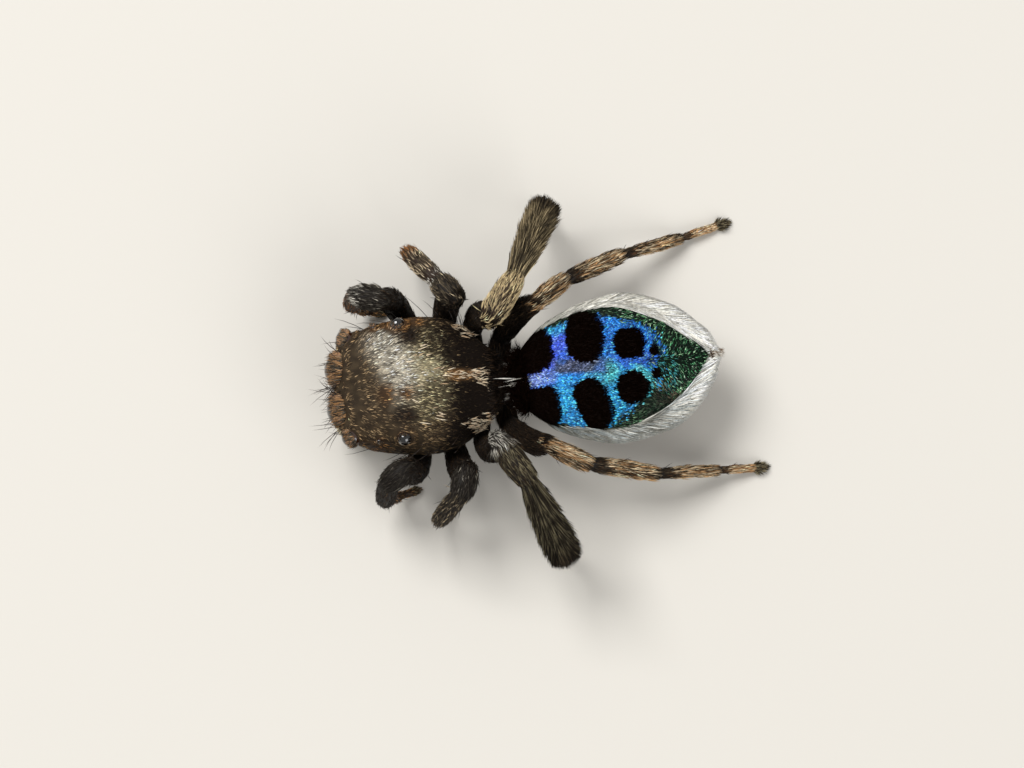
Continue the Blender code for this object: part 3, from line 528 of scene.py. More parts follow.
# Cornea, smooth as glass: small sharp lights on a black ball, with no grain.
cornea = finish("clear_cornea_over_dark_retina", 0.06, roughness=0.04, specular=0.6,
                **{"Coat Weight": 1.0, "Coat Roughness": 0.02})
cornea.node_tree.nodes["Bump"].inputs["Strength"].default_value = 0.0


def eye_axes(eye, side):
    """Where an eye looks, and the level and the upright direction across that, each at unit length."""
    look = np.array(eye["look"]) * (side, 1.0, 1.0)
    look = look / np.linalg.norm(look)
    across = np.cross(look, (0.0, 0.0, 1.0))
    across /= np.linalg.norm(across)
    return look, across, np.cross(across, look)


def eye_surface(eye, side):
    """A ball about the eye's centre, turned so that its pole looks out, with the cornea a little fuller."""
    centre = eye_centre(eye, side)
    look, across, up = eye_axes(eye, side)

    def surface(u, v):
        polar, turn = np.pi * u, 2 * np.pi * v
        radius = eye["radius"] * (0.985 + 0.03 * np.exp(-(polar / 0.8) ** 2))
        ring = np.sin(polar)
        return (centre + (radius * np.cos(polar))[..., None] * look
                + (radius * ring * np.cos(turn))[..., None] * across
                + (radius * ring * np.sin(turn))[..., None] * up)

    return surface


for eye_name, eye in EYES.items():
    for side, side_name in ((-1, "right"), (1, "left")):
        ball = skin_mesh(f"cornea_{eye_name}_{side_name}", eye_surface(eye, side), 32, 40,
                         lambda p, u, v: mixed(EYE_PUPIL, EYE_RIM, ramp(u, 0.30, 0.52)), cornea)
        fit(ball, "eye", f"eye_{eye_name}_{side_name}")


# Lashes stand in a ring on each collar, stiff brown and rust hairs. Over the two big pairs they hang forward
# like a brow that hides the eye from above, with pale ones under it.
LASHES = {"anterior_median": 1100, "anterior_lateral": 600, "posterior_median": 60, "posterior_lateral": 170}
LASH_DARK, LASH_PINK = paint("#1c120b"), paint("#9c7454")
lash_parts = []
draw = np.random.default_rng(21)
for eye_name, eye in EYES.items():
    for side in (-1, 1):
        count = LASHES[eye_name]
        look, across, up = eye_axes(eye, side)
        front, big = eye["radius"] > 0.1, eye["radius"] > 0.2
        turn = draw.uniform(0, 2 * np.pi, count)
        over_eye = draw.random(count) < (0.72 if front else 0.0)
        turn = np.where(over_eye, np.pi / 2 + draw.normal(0, 0.75, count), turn)
        top = np.sin(turn)
        polar = np.radians(draw.uniform(68, 104, count) if front else draw.uniform(76, 102, count))
        polar = np.where(top < 0.2, np.maximum(polar, math.radians(84)), polar)
        radial = np.cos(turn)[:, None] * across + top[:, None] * up
        out = np.cos(polar)[:, None] * look + np.sin(polar)[:, None] * radial
        root = eye_centre(eye, side) + out * (eye["radius"] * 1.01)
        heading = look * (1.0 if front else 0.35) + radial * (0.12 if front else 0.3)
        lie = along_surface(heading + draw.normal(0, 0.20, (count, 3)), out)
        reach = np.where(top > 0.2, 1.0, 0.6) * (0.14 if big else 0.085 if front else 0.06)
        clump = mottle(np.stack([np.cos(turn), np.sin(turn), polar * 0.4], axis=-1), 0.16, 22)
        kind = (0.55 * draw.random(count) + 0.45 * clump)[:, None]
        light = np.where(kind < 0.72, SHELL_RUST * 0.75, LASH_PINK)
        tone = np.where(kind < (0.52 if big else 0.62), LASH_DARK, light)
        tone = tone * np.exp(draw.normal(0, 0.25, count))[:, None]
        tone = mixed(tone, SHELL_CREAM * 0.9, np.where(top < -0.3, 0.85, 0.18) * draw.random(count))
        if not front:
            tone = mixed(tone, SHELL_BLACK, np.full(count, 0.75 if side > 0 else 0.4))
        unwrap = np.stack([turn / (2 * np.pi) % 1.0, polar / np.pi], -1)
        length = draw.uniform(0.7, 1.15, count) * reach
        lift = np.where(top > 0.2, draw.uniform(0.10, 0.70, count), draw.uniform(0.3, 0.6, count))
        lash_parts.append((root, lie, out, unwrap, length, lift, np.clip(tone, 0, 1)))
root, lie, out, unwrap, length, lift, tone = (np.concatenate(rows) for rows in zip(*lash_parts))
lashes = tufts("eye_lashes", root, lie, out, unwrap, length, 0.013, 0.008, lift, lift * 0.6, tone * 0.75,
               np.clip(tone * 1.25, 0, 1), scale_hair)
fit(lashes, "dark_shell", "carapace")


# Long fine setae stand up and forward from the face and the brow, and a few from the flanks. Each is a stiff
# hollow bristle in a socket of the cuticle.
def sown(boxes, seed):
    """Roots inside boxes of (u, v) shares: (lowest u, highest u, lowest v, highest v, how many)."""
    draw = np.random.default_rng(seed)
    u = np.concatenate([draw.uniform(a, b, n) for a, b, _, _, n in boxes])
    v = np.concatenate([draw.uniform(c, d, n) for _, _, c, d, n in boxes])
    return u, v % 1.0


# Stiff bristle of dark chitin: rounder and glossier than the flat hairs, with a thin light down its length.
bristle = finish("stiff_chitin_bristle", 0.03, roughness=0.38, specular=0.5)
SETAE_BOXES = (
    (0.013, 0.103, 0.097, 0.403, 46), (0.013, 0.064, 0.575, 0.925, 26),
    (0.13, 0.75, 0.045, 0.11, 14), (0.13, 0.75, 0.39, 0.455, 14),
)
draw = np.random.default_rng(32)
setae = coat("head_setae", shell, sown(SETAE_BOXES, 31), draw,
             lambda p, n: np.array([0.0, -1.0, 0.25]) + n * 0.1 + draw.normal(0, 0.28, (len(p), 3)),
             SHELL_BLACK, bristle, length=(0.22, 0.42), width=0.010, thick=0.010, lift=(0.4, 1.1),
             curl=0.25, bend=0.1, tip_tones=SHELL_BROWN[None], rings=((0.0, 0.9), (0.3, 0.9), (0.65, 0.6)))
fit(setae, "dark_shell", "carapace")


# Underneath, a shield-shaped breast plate lies between the legs, with a lip and two lobes before it. They are
# smooth dark cuticle with thin pale down.
def limb(path, radii, samples=260, cap=0.02):
    """A round tube: point = c(u) + r(u) (cos N + sin B), with N turned along the path as little as it allows,
    and r falling to 0 over a short cap at each end like a quarter circle."""
    path, radii = np.asarray(path, float), np.asarray(radii, float)
    length = np.append(0.0, np.cumsum(np.linalg.norm(np.diff(path, axis=0), axis=1)))
    at = np.linspace(0.0, 1.0, samples)
    line = np.stack([np.interp(at, length / length[-1], path[:, k]) for k in range(3)], axis=-1)
    girth = np.interp(at, length / length[-1], radii)
    ahead = np.gradient(line, axis=0)
    ahead /= np.linalg.norm(ahead, axis=1, keepdims=True)
    normal = np.cross(np.cross(ahead[0], (0.0, 0.0, 1.0)), ahead[0])
    if np.linalg.norm(normal) < 1e-6:
        normal = np.array([1.0, 0.0, 0.0])
    normals = []
    for step in ahead:
        normal = normal - step * (normal @ step)
        normal = normal / np.linalg.norm(normal)
        normals.append(normal)
    normals = np.array(normals)
    beside = np.cross(normals, ahead)

    def surface(u, v):
        def along(rows):
            return np.stack([np.interp(u, at, rows[:, k]) for k in range(3)], axis=-1)

        turn = 2 * np.pi * v
        ends = np.minimum(np.minimum(u, 1 - u) / cap, 1.0)
        radius = np.interp(u, at, girth) * np.sqrt(1 - (1 - ends) ** 2)
        ring = np.cos(turn)[..., None] * along(normals) + np.sin(turn)[..., None] * along(beside)
        return along(line) + radius[..., None] * ring

    surface.heading = lambda u: np.stack([np.interp(u, at, ahead[:, k]) for k in range(3)], axis=-1)
    return surface


BREAST_DARK, DOWN_PALE = paint("#2a1c11"), paint("#cdbd9b")


def oval(centre, radii, power=1.0):
    """An ellipsoid along Y, boxier where the power is below 1."""
    def surface(u, v):
        polar, turn = np.pi * u, 2 * np.pi * v
        ring = np.maximum(np.sin(polar), 0.0) ** power
        return np.stack([centre[0] + radii[0] * ring * np.cos(turn),
                         centre[1] - radii[1] * squared(np.cos(polar), power),
                         centre[2] + radii[2] * ring ** 0.65 * squared(np.sin(turn), 0.85)], axis=-1)

    return surface


def dark_skin(points, u, v):
    """Black cuticle clouded with brown."""
    return mixed(SHELL_BLACK, BREAST_DARK, mottle(points, 0.08, 5))


# Smooth dark cuticle without a coat: a soft highlight, as on varnished horn.
smooth_cuticle = finish("smooth_dark_cuticle", 0.02, roughness=0.42, specular=0.5)
UNDERSIDE = {
    "breast_plate": (oval((0.0, -1.17, 0.43), (0.262, 0.645, 0.096), 0.77), "sternum"),
    "lower_lip": (oval((0.0, -1.93, 0.43), (0.083, 0.088, 0.078)), "mouthparts"),
    "mouth_lobe_left": (oval((0.15, -2.0, 0.43), (0.098, 0.158, 0.078)), "mouthparts"),
    "mouth_lobe_right": (oval((-0.15, -2.0, 0.43), (0.098, 0.158, 0.078)), "mouthparts"),
}
for name, (surface, node) in UNDERSIDE.items():
    piece = skin_mesh(name, surface, 40, 48, dark_skin, smooth_cuticle)
    fit(piece, "dark_shell", node)
    seed = len(name)
    draw = np.random.default_rng(seed)
    count = 900 if node == "sternum" else 220
    place = spread(surface, count, lambda p, n: ramp(-n[:, 2], -0.4, 0.2), seed, (120, 90))
    down = coat(f"{name}_down", surface, place, draw, (0.0, 1.0, 0.0),
                (DOWN_PALE, BREAST_DARK * 2, 0.6), scale_hair, length=(0.04, 0.08), width=0.009, thick=0.005,
                lift=0.35, curl=0.15, stray=0.35, shades=(0.8, 1.0), sink=0.006)
    fit(down, "dark_shell", node)


# Two jaws hang under the face, dark and smooth, and beside them two pale palps, shaggy with cream hairs, each
# ending in a dark club.
PALP_SKIN, PALP_CREAM = paint("#5b4630"), paint("#ead9b4")
JAW_LINE = ((0.145, -2.40, 0.60), (0.145, -2.40, 0.48), (0.13, -2.40, 0.32), (0.115, -2.40, 0.215))
JAW_RADII = (0.112, 0.115, 0.105, 0.082)
PALP_LINE = (
    (0.34, -1.98, 0.43), (0.42, -2.12, 0.437), (0.47, -2.22, 0.44), (0.495, -2.34, 0.45),
    (0.50, -2.46, 0.46), (0.47, -2.56, 0.445), (0.42, -2.62, 0.42), (0.385, -2.665, 0.34),
    (0.34, -2.675, 0.22), (0.30, -2.685, 0.12),
)
PALP_RADII = (0.045, 0.052, 0.06, 0.06, 0.06, 0.058, 0.062, 0.072, 0.066, 0.03)
JAW_HAIRS, PALP_HAIRS = 320, 1500


def evenly(points, out):
    """The same density all over."""
    return np.ones(len(points))


def jaw_front(points, out):
    """1 on the side of a jaw that faces forward, above its tip."""
    return ramp(-out[:, 1], -0.6, 0.3) * ramp(points[:, 2], 0.24, 0.34)


def palp_colour(points, u, v):
    """Tan skin, black over the club at the end."""
    return mixed(PALP_SKIN, SHELL_BLACK, ramp(u, 0.72, 0.9))


for side, side_name in ((-1, "right"), (1, "left")):
    jaw = limb([(side * x, y, z) for x, y, z in JAW_LINE], JAW_RADII, cap=0.22)
    piece = skin_mesh(f"jaw_{side_name}", jaw, 40, 40, dark_skin, smooth_cuticle)
    fit(piece, "dark_shell", f"chelicera_{side_name}")
    seed = 41 + side
    draw = np.random.default_rng(seed)
    place = spread(jaw, JAW_HAIRS, jaw_front, seed, (100, 80))
    down = coat(f"jaw_hairs_{side_name}", jaw, place, draw, (0.0, -0.15, -1.0),
                (DOWN_PALE, SHELL_BROWN, 0.45), scale_hair, length=(0.07, 0.12), width=0.010, thick=0.006,
                lift=0.25, curl=0.1, stray=0.25, shades=(0.8, 1.0), sink=0.006)
    fit(down, "dark_shell", f"chelicera_{side_name}")

    palp = limb([(side * x, y, z) for x, y, z in PALP_LINE], PALP_RADII, cap=0.05)
    piece = skin_mesh(f"palp_skin_{side_name}", palp, 90, 32, palp_colour, cuticle)
    fit(piece, "pale_palp", f"palp_{side_name}")
    seed = 51 + side
    draw = np.random.default_rng(seed)
    u, v = spread(palp, PALP_HAIRS, evenly, seed, (160, 60))
    pale_share = 0.85 * (1 - 0.7 * ramp(u, 0.75, 0.95))
    shag = coat(f"palp_hairs_{side_name}", palp, (u, v), draw, palp.heading(u),
                (PALP_CREAM, PALP_SKIN, pale_share), scale_hair, length=(0.06, 0.13), width=0.011, thick=0.007,
                lift=(0.3, 0.8), curl=0.3, stray=0.3, shades=(0.8, 1.0), sink=0.006, floor=0.004)
    fit(shag, "pale_palp", f"palp_{side_name}")


# The waist is a thin bare stalk of smooth cuticle. It grows out of the shell's rear and into the front of the
# abdomen.
WAIST_LINE = ((0.045, -0.72, 0.80), (0.055, -0.60, 0.80), (0.075, -0.50, 0.815), (0.095, -0.36, 0.835))
waist = limb(WAIST_LINE, [0.085, 0.082, 0.082, 0.09], cap=0.05)
piece = skin_mesh("waist", waist, 30, 36, dark_skin, smooth_cuticle)
fit(piece, "dark_shell", "pedicel")


# The abdomen is a soft egg under a flatter plate. The plate is tiled with tiny flat scales: structural blue to
# cyan ones round four pairs of velvet black spots, then dark green with bright flecks toward the rear.
ABDOMEN_FRONT = (0.135, -0.52)
ABDOMEN_LENGTH = 2.62
ABDOMEN_YAW = math.radians(3.6)
ABDOMEN_STATIONS = (0.0, 0.05, 0.12, 0.27, 0.45, 0.60, 0.75, 0.88, 1.0)
ABDOMEN_HALF_WIDTHS = (0.36, 0.51, 0.64, 0.78, 0.85, 0.84, 0.74, 0.53, 0.16)
ABDOMEN_TOPS = (1.20, 1.27, 1.36, 1.48, 1.51, 1.47, 1.34, 1.17, 0.98)
ABDOMEN_BOTTOMS = (0.86, 0.76, 0.64, 0.48, 0.42, 0.44, 0.52, 0.64, 0.82)
PLATE_EDGE_SHARE = 0.64
FRONT_BLUNTNESS, REAR_BLUNTNESS = 0.70, 0.90
FRONT_TAPER, REAR_TAPER = 0.62, 0.80


def abdomen(u, v, lift=-COAT_DEPTH):
    """An egg: half width and height follow the stations, times sin(polar)^e. The section above the edge is
    boxier than the belly's."""
    polar, turn = np.pi * u, 2 * np.pi * v
    facing = -np.cos(polar)
    front = facing < 0
    share = (1 + squared(facing, np.where(front, FRONT_BLUNTNESS, REAR_BLUNTNESS))) / 2
    size = np.maximum(np.sin(polar), 0.0) ** np.where(front, FRONT_TAPER, REAR_TAPER)
    width = profile(ABDOMEN_STATIONS, ABDOMEN_HALF_WIDTHS, share)
    top = profile(ABDOMEN_STATIONS, ABDOMEN_TOPS, share)
    bottom = profile(ABDOMEN_STATIONS, ABDOMEN_BOTTOMS, share)
    edge = bottom + PLATE_EDGE_SHARE * (top - bottom)
    upper = np.sin(turn) > 0
    height = np.where(upper, top - edge, edge - bottom)
    across = (width * size + lift) * squared(np.cos(turn), 0.95)
    up = edge + (height * size + lift) * squared(np.sin(turn), np.where(upper, 0.72, 0.95))
    along = ABDOMEN_LENGTH * share + lift * squared(facing, 3)
    local = np.stack([ABDOMEN_FRONT[0] + across, ABDOMEN_FRONT[1] + along, up], axis=-1)
    return turned(local, ABDOMEN_YAW, ABDOMEN_FRONT)


def own_place(points):
    """Places along and across the abdomen, from its front and its middle line."""
    local = turned(points, -ABDOMEN_YAW, ABDOMEN_FRONT)
    return local[..., 1] - ABDOMEN_FRONT[1], local[..., 0] - ABDOMEN_FRONT[0]


PLATE_AT = (0.0, 0.05, 0.13, 0.21, 0.30, 0.45, 0.60, 0.73, 0.86, 0.93, 0.98)
PLATE_RIGHT = (0.26, 0.42, 0.545, 0.64, 0.71, 0.77, 0.745, 0.575, 0.35, 0.20, 0.0)
PLATE_LEFT = (0.26, 0.44, 0.57, 0.66, 0.73, 0.79, 0.785, 0.65, 0.41, 0.20, 0.0)


def plate_depth(along, across):
    """How far inside the plate's edge a place lies, in mm: positive on the plate."""
    share = np.clip(along / ABDOMEN_LENGTH, 0.0, 1.0)
    edge = np.where(across < 0, profile(PLATE_AT, PLATE_RIGHT, share), profile(PLATE_AT, PLATE_LEFT, share))
    return edge - np.abs(across)


# Each spot: middle along and across, half its size along and across, tilt in degrees and boxiness.
SPOTS = (
    (0.20, -0.345, 0.385, 0.300, 0, 3.2), (0.205, 0.400, 0.375, 0.275, 0, 3.2),
    (1.005, -0.395, 0.245, 0.335, 6, 2.6), (0.990, 0.460, 0.215, 0.330, -18, 2.7),
    (1.550, -0.225, 0.212, 0.208, 0, 2.3), (1.510, 0.335, 0.218, 0.205, -20, 2.3),
    (1.855, -0.085, 0.060, 0.066, 0, 2.0), (1.850, 0.168, 0.055, 0.074, 20, 2.0),
)


def spot_share(along, across, points):
    """1 inside a spot and 0 outside, with an edge that wavers by a scale or two."""
    waver = 0.10 * (mottle(points, 0.05, 8) - 0.5)
    inside = np.zeros(len(along))
    for middle, beside, half_long, half_wide, tilt, power in SPOTS:
        cos, sin = math.cos(math.radians(tilt)), math.sin(math.radians(tilt))
        a, c = along - middle, across - beside
        a, c = a * cos + c * sin, c * cos - a * sin
        reach = (np.abs(a / half_long) ** power + np.abs(c / half_wide) ** power) ** (1 / power)
        inside = np.maximum(inside, 1 - ramp(reach + waver, 0.97, 1.03))
    stem = (1 - ramp(np.abs(across - 0.035 + 0.02 * np.sin(9 * along)), 0.065, 0.085))
    front = 1 - ramp(along + waver, 0.10, 0.16)
    return np.maximum(inside * (1 - stem * (along < 0.6)), front * (1 - stem * ramp(along, 0.10, 0.18)))


VELVET, VIOLET, SKY, CYAN = paint("#0b0503"), paint("#4158e8"), paint("#1f7cf0"), paint("#2ba6e4")
TEAL, MAUVE, DEEP_BLUE, STEM_VIOLET = paint("#4dbdc4"), paint("#454a5e"), paint("#1b62b8"), paint("#8fa8ff")
GREEN_DARK, GREEN_FLECK, GREEN_PALE = paint("#0f1c14"), paint("#4f9a68"), paint("#b4ecb4")
EARTH, UMBER_BLACK = paint("#7a6650"), paint("#191a12")


def plate_colour(along, across, points):
    """The pale colour of the plate's scales: violet blue at the front right, cyan on the left bar, sky blue
    between the spots, teal in the middle and round the left third spot, greyish mauve on the middle line."""
    blotch = mottle(points, 0.22, 12)
    tone = mixed(SKY, CYAN, ramp(across, -0.1, 0.35) * 0.75 + 0.25 * blotch)
    violet = (patch_share(across, along, (-0.34, 0.62), (0.26, 0.42), 0, 0.3)
              + (1 - ramp(along, 0.45, 0.62)) * (1 - ramp(across, 0.05, 0.30)))
    tone = mixed(tone, VIOLET, np.clip(violet, 0, 1) * 0.9)
    tone = mixed(tone, CYAN, patch_share(across, along, (-0.60, 0.66), (0.12, 0.16), 0, 0.4))
    between = patch_share(across, along, (-0.02, 1.52), (0.10, 0.42), 0, 0.4)
    tone = mixed(tone, mixed(VIOLET, SKY, 0.5), between * 0.8)
    tone = mixed(tone, TEAL, patch_share(across, along, (0.10, 1.18), (0.16, 0.20), 0, 0.5))
    ring = np.abs(np.hypot((along - 1.51) / 1.06, across - 0.335) - 0.245)
    tone = mixed(tone, TEAL, (1 - ramp(ring, 0.03, 0.08)) * ramp(along, 1.45, 1.65) * 0.9)
    stem = (1 - ramp(np.abs(across - 0.035), 0.06, 0.10)) * (1 - ramp(along, 0.50, 0.62))
    tone = mixed(tone, STEM_VIOLET, stem * 0.8)
    middle = -0.13 + 0.09 * np.clip((along - 0.55) / 0.65, 0, 1)
    stretch = ramp(along, 0.48, 0.62) * (1 - ramp(along, 1.15, 1.32))
    grey = (1 - ramp(np.abs(across - middle - 0.05), 0.06, 0.13)) * stretch
    tone = mixed(tone, MAUVE, grey * 0.95)
    return mixed(tone, DEEP_BLUE, ramp(blotch, 0.62, 0.85) * 0.5)


def blue_share(along, across, points):
    """1 on the blue field, 0 on the green rear and on the narrow dark strips inside the plate's edge."""
    right_end = 1.95 - 0.35 * ramp(-across, 0.35, 0.75)
    left_end = 1.86 - 0.55 * ramp(across, 0.28, 0.80)
    end = np.where(across < 0, right_end, left_end)
    waver = 0.16 * (mottle(points, 0.07, 9) - 0.5)
    margin = plate_depth(along, across)
    right_strip = (across < 0) * (0.06 * ramp(along, 0.4, 0.8) + 0.09 * ramp(along, 1.0, 1.6))
    inset = margin + waver * 0.4 - right_strip
    strip = ramp(inset, 0.02, 0.07 + 0.07 * ramp(along, 1.1, 1.6))
    return (1 - ramp(along + waver, end - 0.30, end + 0.08)) * strip


# The third colour is painted shade: the blue of the shadow on the fringe's left side.
BAND_CREAM, BAND_GREY, FRINGE_BLUE_SHADE = paint("#fbf7ec"), paint("#8f9184"), paint("#7f9aa8")
BELLY_BROWN = paint("#4b3b2a")


def abdomen_skin_colour(points, u, v):
    """The plate's own colours, dimmed, under its scales, and brown to grey skin on the belly and flanks."""
    along, across = own_place(points)
    spot = spot_share(along, across, points)
    blue = blue_share(along, across, points)
    plate = mixed(GREEN_DARK * 0.7, plate_colour(along, across, points) * 0.22, blue)
    plate = mixed(plate, VELVET, spot)
    _, out, _ = surface_frame(abdomen, u, v)
    on_plate = ramp(plate_depth(along, across), -0.02, 0.01) * (out[:, 2] > 0.1)
    flank = mixed(BELLY_BROWN, BAND_GREY * 0.7, ramp(out[:, 2], -0.4, 0.3))
    return mixed(flank, plate, on_plate)


# Soft leathery skin, dull and finely wrinkled: it shows only as a dark ground between the scales.
soft_skin = finish("soft_leathery_skin", 0.015, roughness=0.85, specular=0.04)
abdomen_skin = skin_mesh("abdomen_skin", abdomen, 190, 180, abdomen_skin_colour, soft_skin)
fit(abdomen_skin, "blue_plate", "abdomen")


def rearward(points, out):
    """Along the abdomen toward the spinnerets, drawn in toward the middle line over its rear half."""
    along, across = own_place(points)
    pull = -0.75 * across * ramp(along, 1.1, 2.3)
    cos, sin = math.cos(ABDOMEN_YAW), math.sin(ABDOMEN_YAW)
    heading = np.stack([pull * cos - sin, pull * sin + cos, np.full(len(along), 0.0)], axis=-1)
    return along_surface(heading, out)


def fanned(points, out):
    """Rearward near the plate's edge, turning across the body, away from the middle, over its rear third."""
    along, across = own_place(points)
    inside = ramp(along, 1.5, 2.0) * ramp(plate_depth(along, across), 0.06, 0.20)
    outward = 1.6 * inside * np.tanh((across - 0.02) / 0.09)
    cos, sin = math.cos(ABDOMEN_YAW), math.sin(ABDOMEN_YAW)
    aside = outward[:, None] * np.array([cos, sin, 0.0])
    return along_surface(rearward(points, out) + aside, out)


PLATE_CELLS = (420, 420)


def plate_tufts(name, count, seed, density, colours, material, length, width, lift, stray=0.25, **form):
    """One kind of the plate's scales, sown by its density and coloured by its place."""
    draw = np.random.default_rng(seed)
    place = spread(abdomen, count, density, seed, PLATE_CELLS)
    tint = colours(abdomen(*place), draw)
    piece = coat(name, abdomen, place, draw, fanned, tint, material, length, width, thick=0.006, lift=lift,
                 curl=0.15, stray=stray, shades=(0.9, 1.25), sink=0.008, **form)
    fit(piece, "blue_plate", "abdomen")


def on_blue(points, out):
    """On the plate, in the blue field and off the spots."""
    along, across = own_place(points)
    return (ramp(plate_depth(along, across), -0.01, 0.02) * (out[:, 2] > 0.1)
            * blue_share(along, across, points) * (spot_share(along, across, points) < 0.5) + 1e-6)


def on_spots(points, out):
    """On the plate and in a spot."""
    along, across = own_place(points)
    on_plate = ramp(plate_depth(along, across), -0.03, 0.0) * (out[:, 2] > 0.1)
    return on_plate * (spot_share(along, across, points) > 0.4) + 1e-6


def on_green(points, out):
    """On the plate, outside the blue field and off the spots."""
    along, across = own_place(points)
    return (ramp(plate_depth(along, across), -0.04, 0.0) * (out[:, 2] > 0.1)
            * (1 - blue_share(along, across, points)) * (spot_share(along, across, points) < 0.5) + 1e-6)


def blue_tints(points, draw):
    """The plate's colour, each scale lighter or darker, a few nearly dark."""
    along, across = own_place(points)
    tone = plate_colour(along, across, points)
    bright = np.exp(draw.normal(-0.08, 0.60, len(points)))
    bright = bright * np.where(draw.random(len(points)) < 0.09, 0.22, 1.0)
    return np.clip(tone * bright[:, None] + 0.10 * (bright > 1.7)[:, None], 0, 1)


def green_tints(points, draw):
    """Dark green with bright and pale flecks, dull and brown in places."""
    along, across = own_place(points)
    n = len(points)
    fleck = draw.random(n)
    near_edge = (across < 0.1) * (1 - ramp(plate_depth(along, across), 0.08, 0.22))
    tone = np.where((fleck > 0.54)[:, None], GREEN_FLECK, GREEN_DARK)
    tone = np.where((fleck + 0.12 * near_edge > 0.83)[:, None], GREEN_PALE, tone)
    earth = patch_share(across, along, (0.42, 1.93), (0.20, 0.20), 0, 0.5) * (draw.random(n) < 0.5)
    tone = mixed(tone, EARTH, earth)
    teal = patch_share(across, along, (0.15, 1.98), (0.22, 0.14), 0, 0.5) * (draw.random(n) < 0.5)
    tone = mixed(tone, TEAL * 0.8, teal)
    left_flank = patch_share(across, along, (0.60, 1.72), (0.26, 0.34), 0, 0.4)
    dull = np.maximum(1 - ramp(along, 1.2, 1.7), left_flank) * 0.85
    return np.clip(mixed(tone, UMBER_BLACK, dull) * np.exp(draw.normal(0, 0.35, n))[:, None], 0, 1)


def velvet_tints(points, draw):
    """Near black, a few scales a trace lighter."""
    return picked(VELVET * 1.6, VELVET, np.full(len(points), 0.2), draw)


# Structural blue comes from thin layers in the scale, so it glints like metal. The green scales are the same
# with thicker layers, and the black ones are velvet that gives nearly no light back.
blue_scale = finish("structural_blue_scale", 0.02, roughness=0.36, specular=0.5, Metallic=0.30)
velvet_scale = finish("velvet_black_scale", 0.02, roughness=1.0, specular=0.0)
green_scale = finish("structural_green_scale", 0.02, roughness=0.34, specular=0.5, Metallic=0.35)
plate_tufts("plate_blue_scales", 12500, 61, on_blue, blue_tints, blue_scale,
            length=(0.040, 0.062), width=(0.020, 0.030), lift=(0.10, 0.45))
plate_tufts("plate_velvet_scales", 9000, 62, on_spots, velvet_tints, velvet_scale,
            length=(0.045, 0.070), width=(0.020, 0.030), lift=(0.25, 0.6), rings=((0.0, 1.0),))
plate_tufts("plate_green_scales", 8500, 63, on_green, green_tints, green_scale,
            length=(0.050, 0.085), width=(0.013, 0.019), lift=(0.08, 0.3), stray=0.20)


# Round the plate's edge lies a fringe of long cream hairs, combed back along the flank, thin at the front and
# three times as wide at the rear. Below it, the flanks and belly have short grey and brown hairs.
FRINGE_AT = (0.0, 0.10, 0.20, 0.30, 0.40, 0.50, 0.585, 0.69, 0.79, 0.88, 0.95, 1.01, 1.04)
FRINGE_RIGHT = (0.34, 0.53, 0.69, 0.805, 0.89, 0.93, 0.955, 0.90, 0.785, 0.645, 0.46, 0.27, 0.07)
FRINGE_LEFT = (0.34, 0.53, 0.71, 0.835, 0.935, 0.99, 0.985, 0.93, 0.855, 0.69, 0.51, 0.27, 0.08)
FRINGE_INNER_RIGHT = (0.26, 0.46, 0.62, 0.70, 0.775, 0.80, 0.76, 0.61, 0.46, 0.29, 0.12, 0.02, 0.0)
FRINGE_INNER_LEFT = (0.26, 0.50, 0.655, 0.735, 0.80, 0.87, 0.85, 0.70, 0.54, 0.33, 0.13, 0.02, 0.0)
FRINGE_HAIRS, BELLY_HAIRS, RUFF_HAIRS = 10000, 6500, 2600


def back_height(along, across):
    """The height of the abdomen's upper side, or of its widest line beyond it: edge + rise sin(turn)^0.72."""
    share = np.clip(along / ABDOMEN_LENGTH, 0.002, 0.998)
    facing = 2 * share - 1
    facing = squared(facing, np.where(facing < 0, 1 / FRONT_BLUNTNESS, 1 / REAR_BLUNTNESS))
    size = np.sqrt(1 - facing**2) ** np.where(facing < 0, FRONT_TAPER, REAR_TAPER)
    width = profile(ABDOMEN_STATIONS, ABDOMEN_HALF_WIDTHS, share) * size
    top = profile(ABDOMEN_STATIONS, ABDOMEN_TOPS, share)
    bottom = profile(ABDOMEN_STATIONS, ABDOMEN_BOTTOMS, share)
    edge = bottom + PLATE_EDGE_SHARE * (top - bottom)
    cos = np.clip(np.abs(across) / width, 0.0, 1.0) ** (1 / 0.95)
    return edge + (top - edge) * size * (1 - cos**2) ** 0.36


def band(points, out):
    """Roots of the fringe: outside the plate's edge and down to a little below the widest line."""
    along, across = own_place(points)
    outside = ramp(-plate_depth(along, across), -0.04, 0.01)
    above = ramp(out[:, 2], -0.45, -0.15)
    return outside * above * ramp(along, 0.05, 0.2) * (0.65 + ramp(along, 0.5, 1.5)) + 1e-7


count = FRINGE_HAIRS
draw = np.random.default_rng(71)
u, v = spread(abdomen, count, band, 71, PLATE_CELLS)
root, out, _ = surface_frame(abdomen, u, v)
along, across = own_place(root)
hand = np.sign(across)
rear = ramp(along, 0.3, 1.8)
rear_push = np.where(hand > 0, 0.55, 0.30) * ramp(along, 1.3, 2.1)
depth = np.clip(1 - ramp(out[:, 2], -0.05, 0.72) + rear_push + draw.normal(0, 0.20, count), 0.0, 1.0)
reach = draw.uniform(0.75, 1.2, count) * (0.18 + 0.20 * rear)
tip_along = np.minimum(along + reach, ABDOMEN_LENGTH * (1.045 - 0.05 * draw.random(count)))
share = tip_along / ABDOMEN_LENGTH
right = hand < 0
inner = profile(FRINGE_AT, FRINGE_INNER_LEFT, share)
inner = np.where(right, profile(FRINGE_AT, FRINGE_INNER_RIGHT, share), inner)
outer = profile(FRINGE_AT, FRINGE_LEFT, share)
outer = np.where(right, profile(FRINGE_AT, FRINGE_RIGHT, share), outer)
tip_across = hand * (inner + 0.01 + (outer - inner - 0.01) * depth)
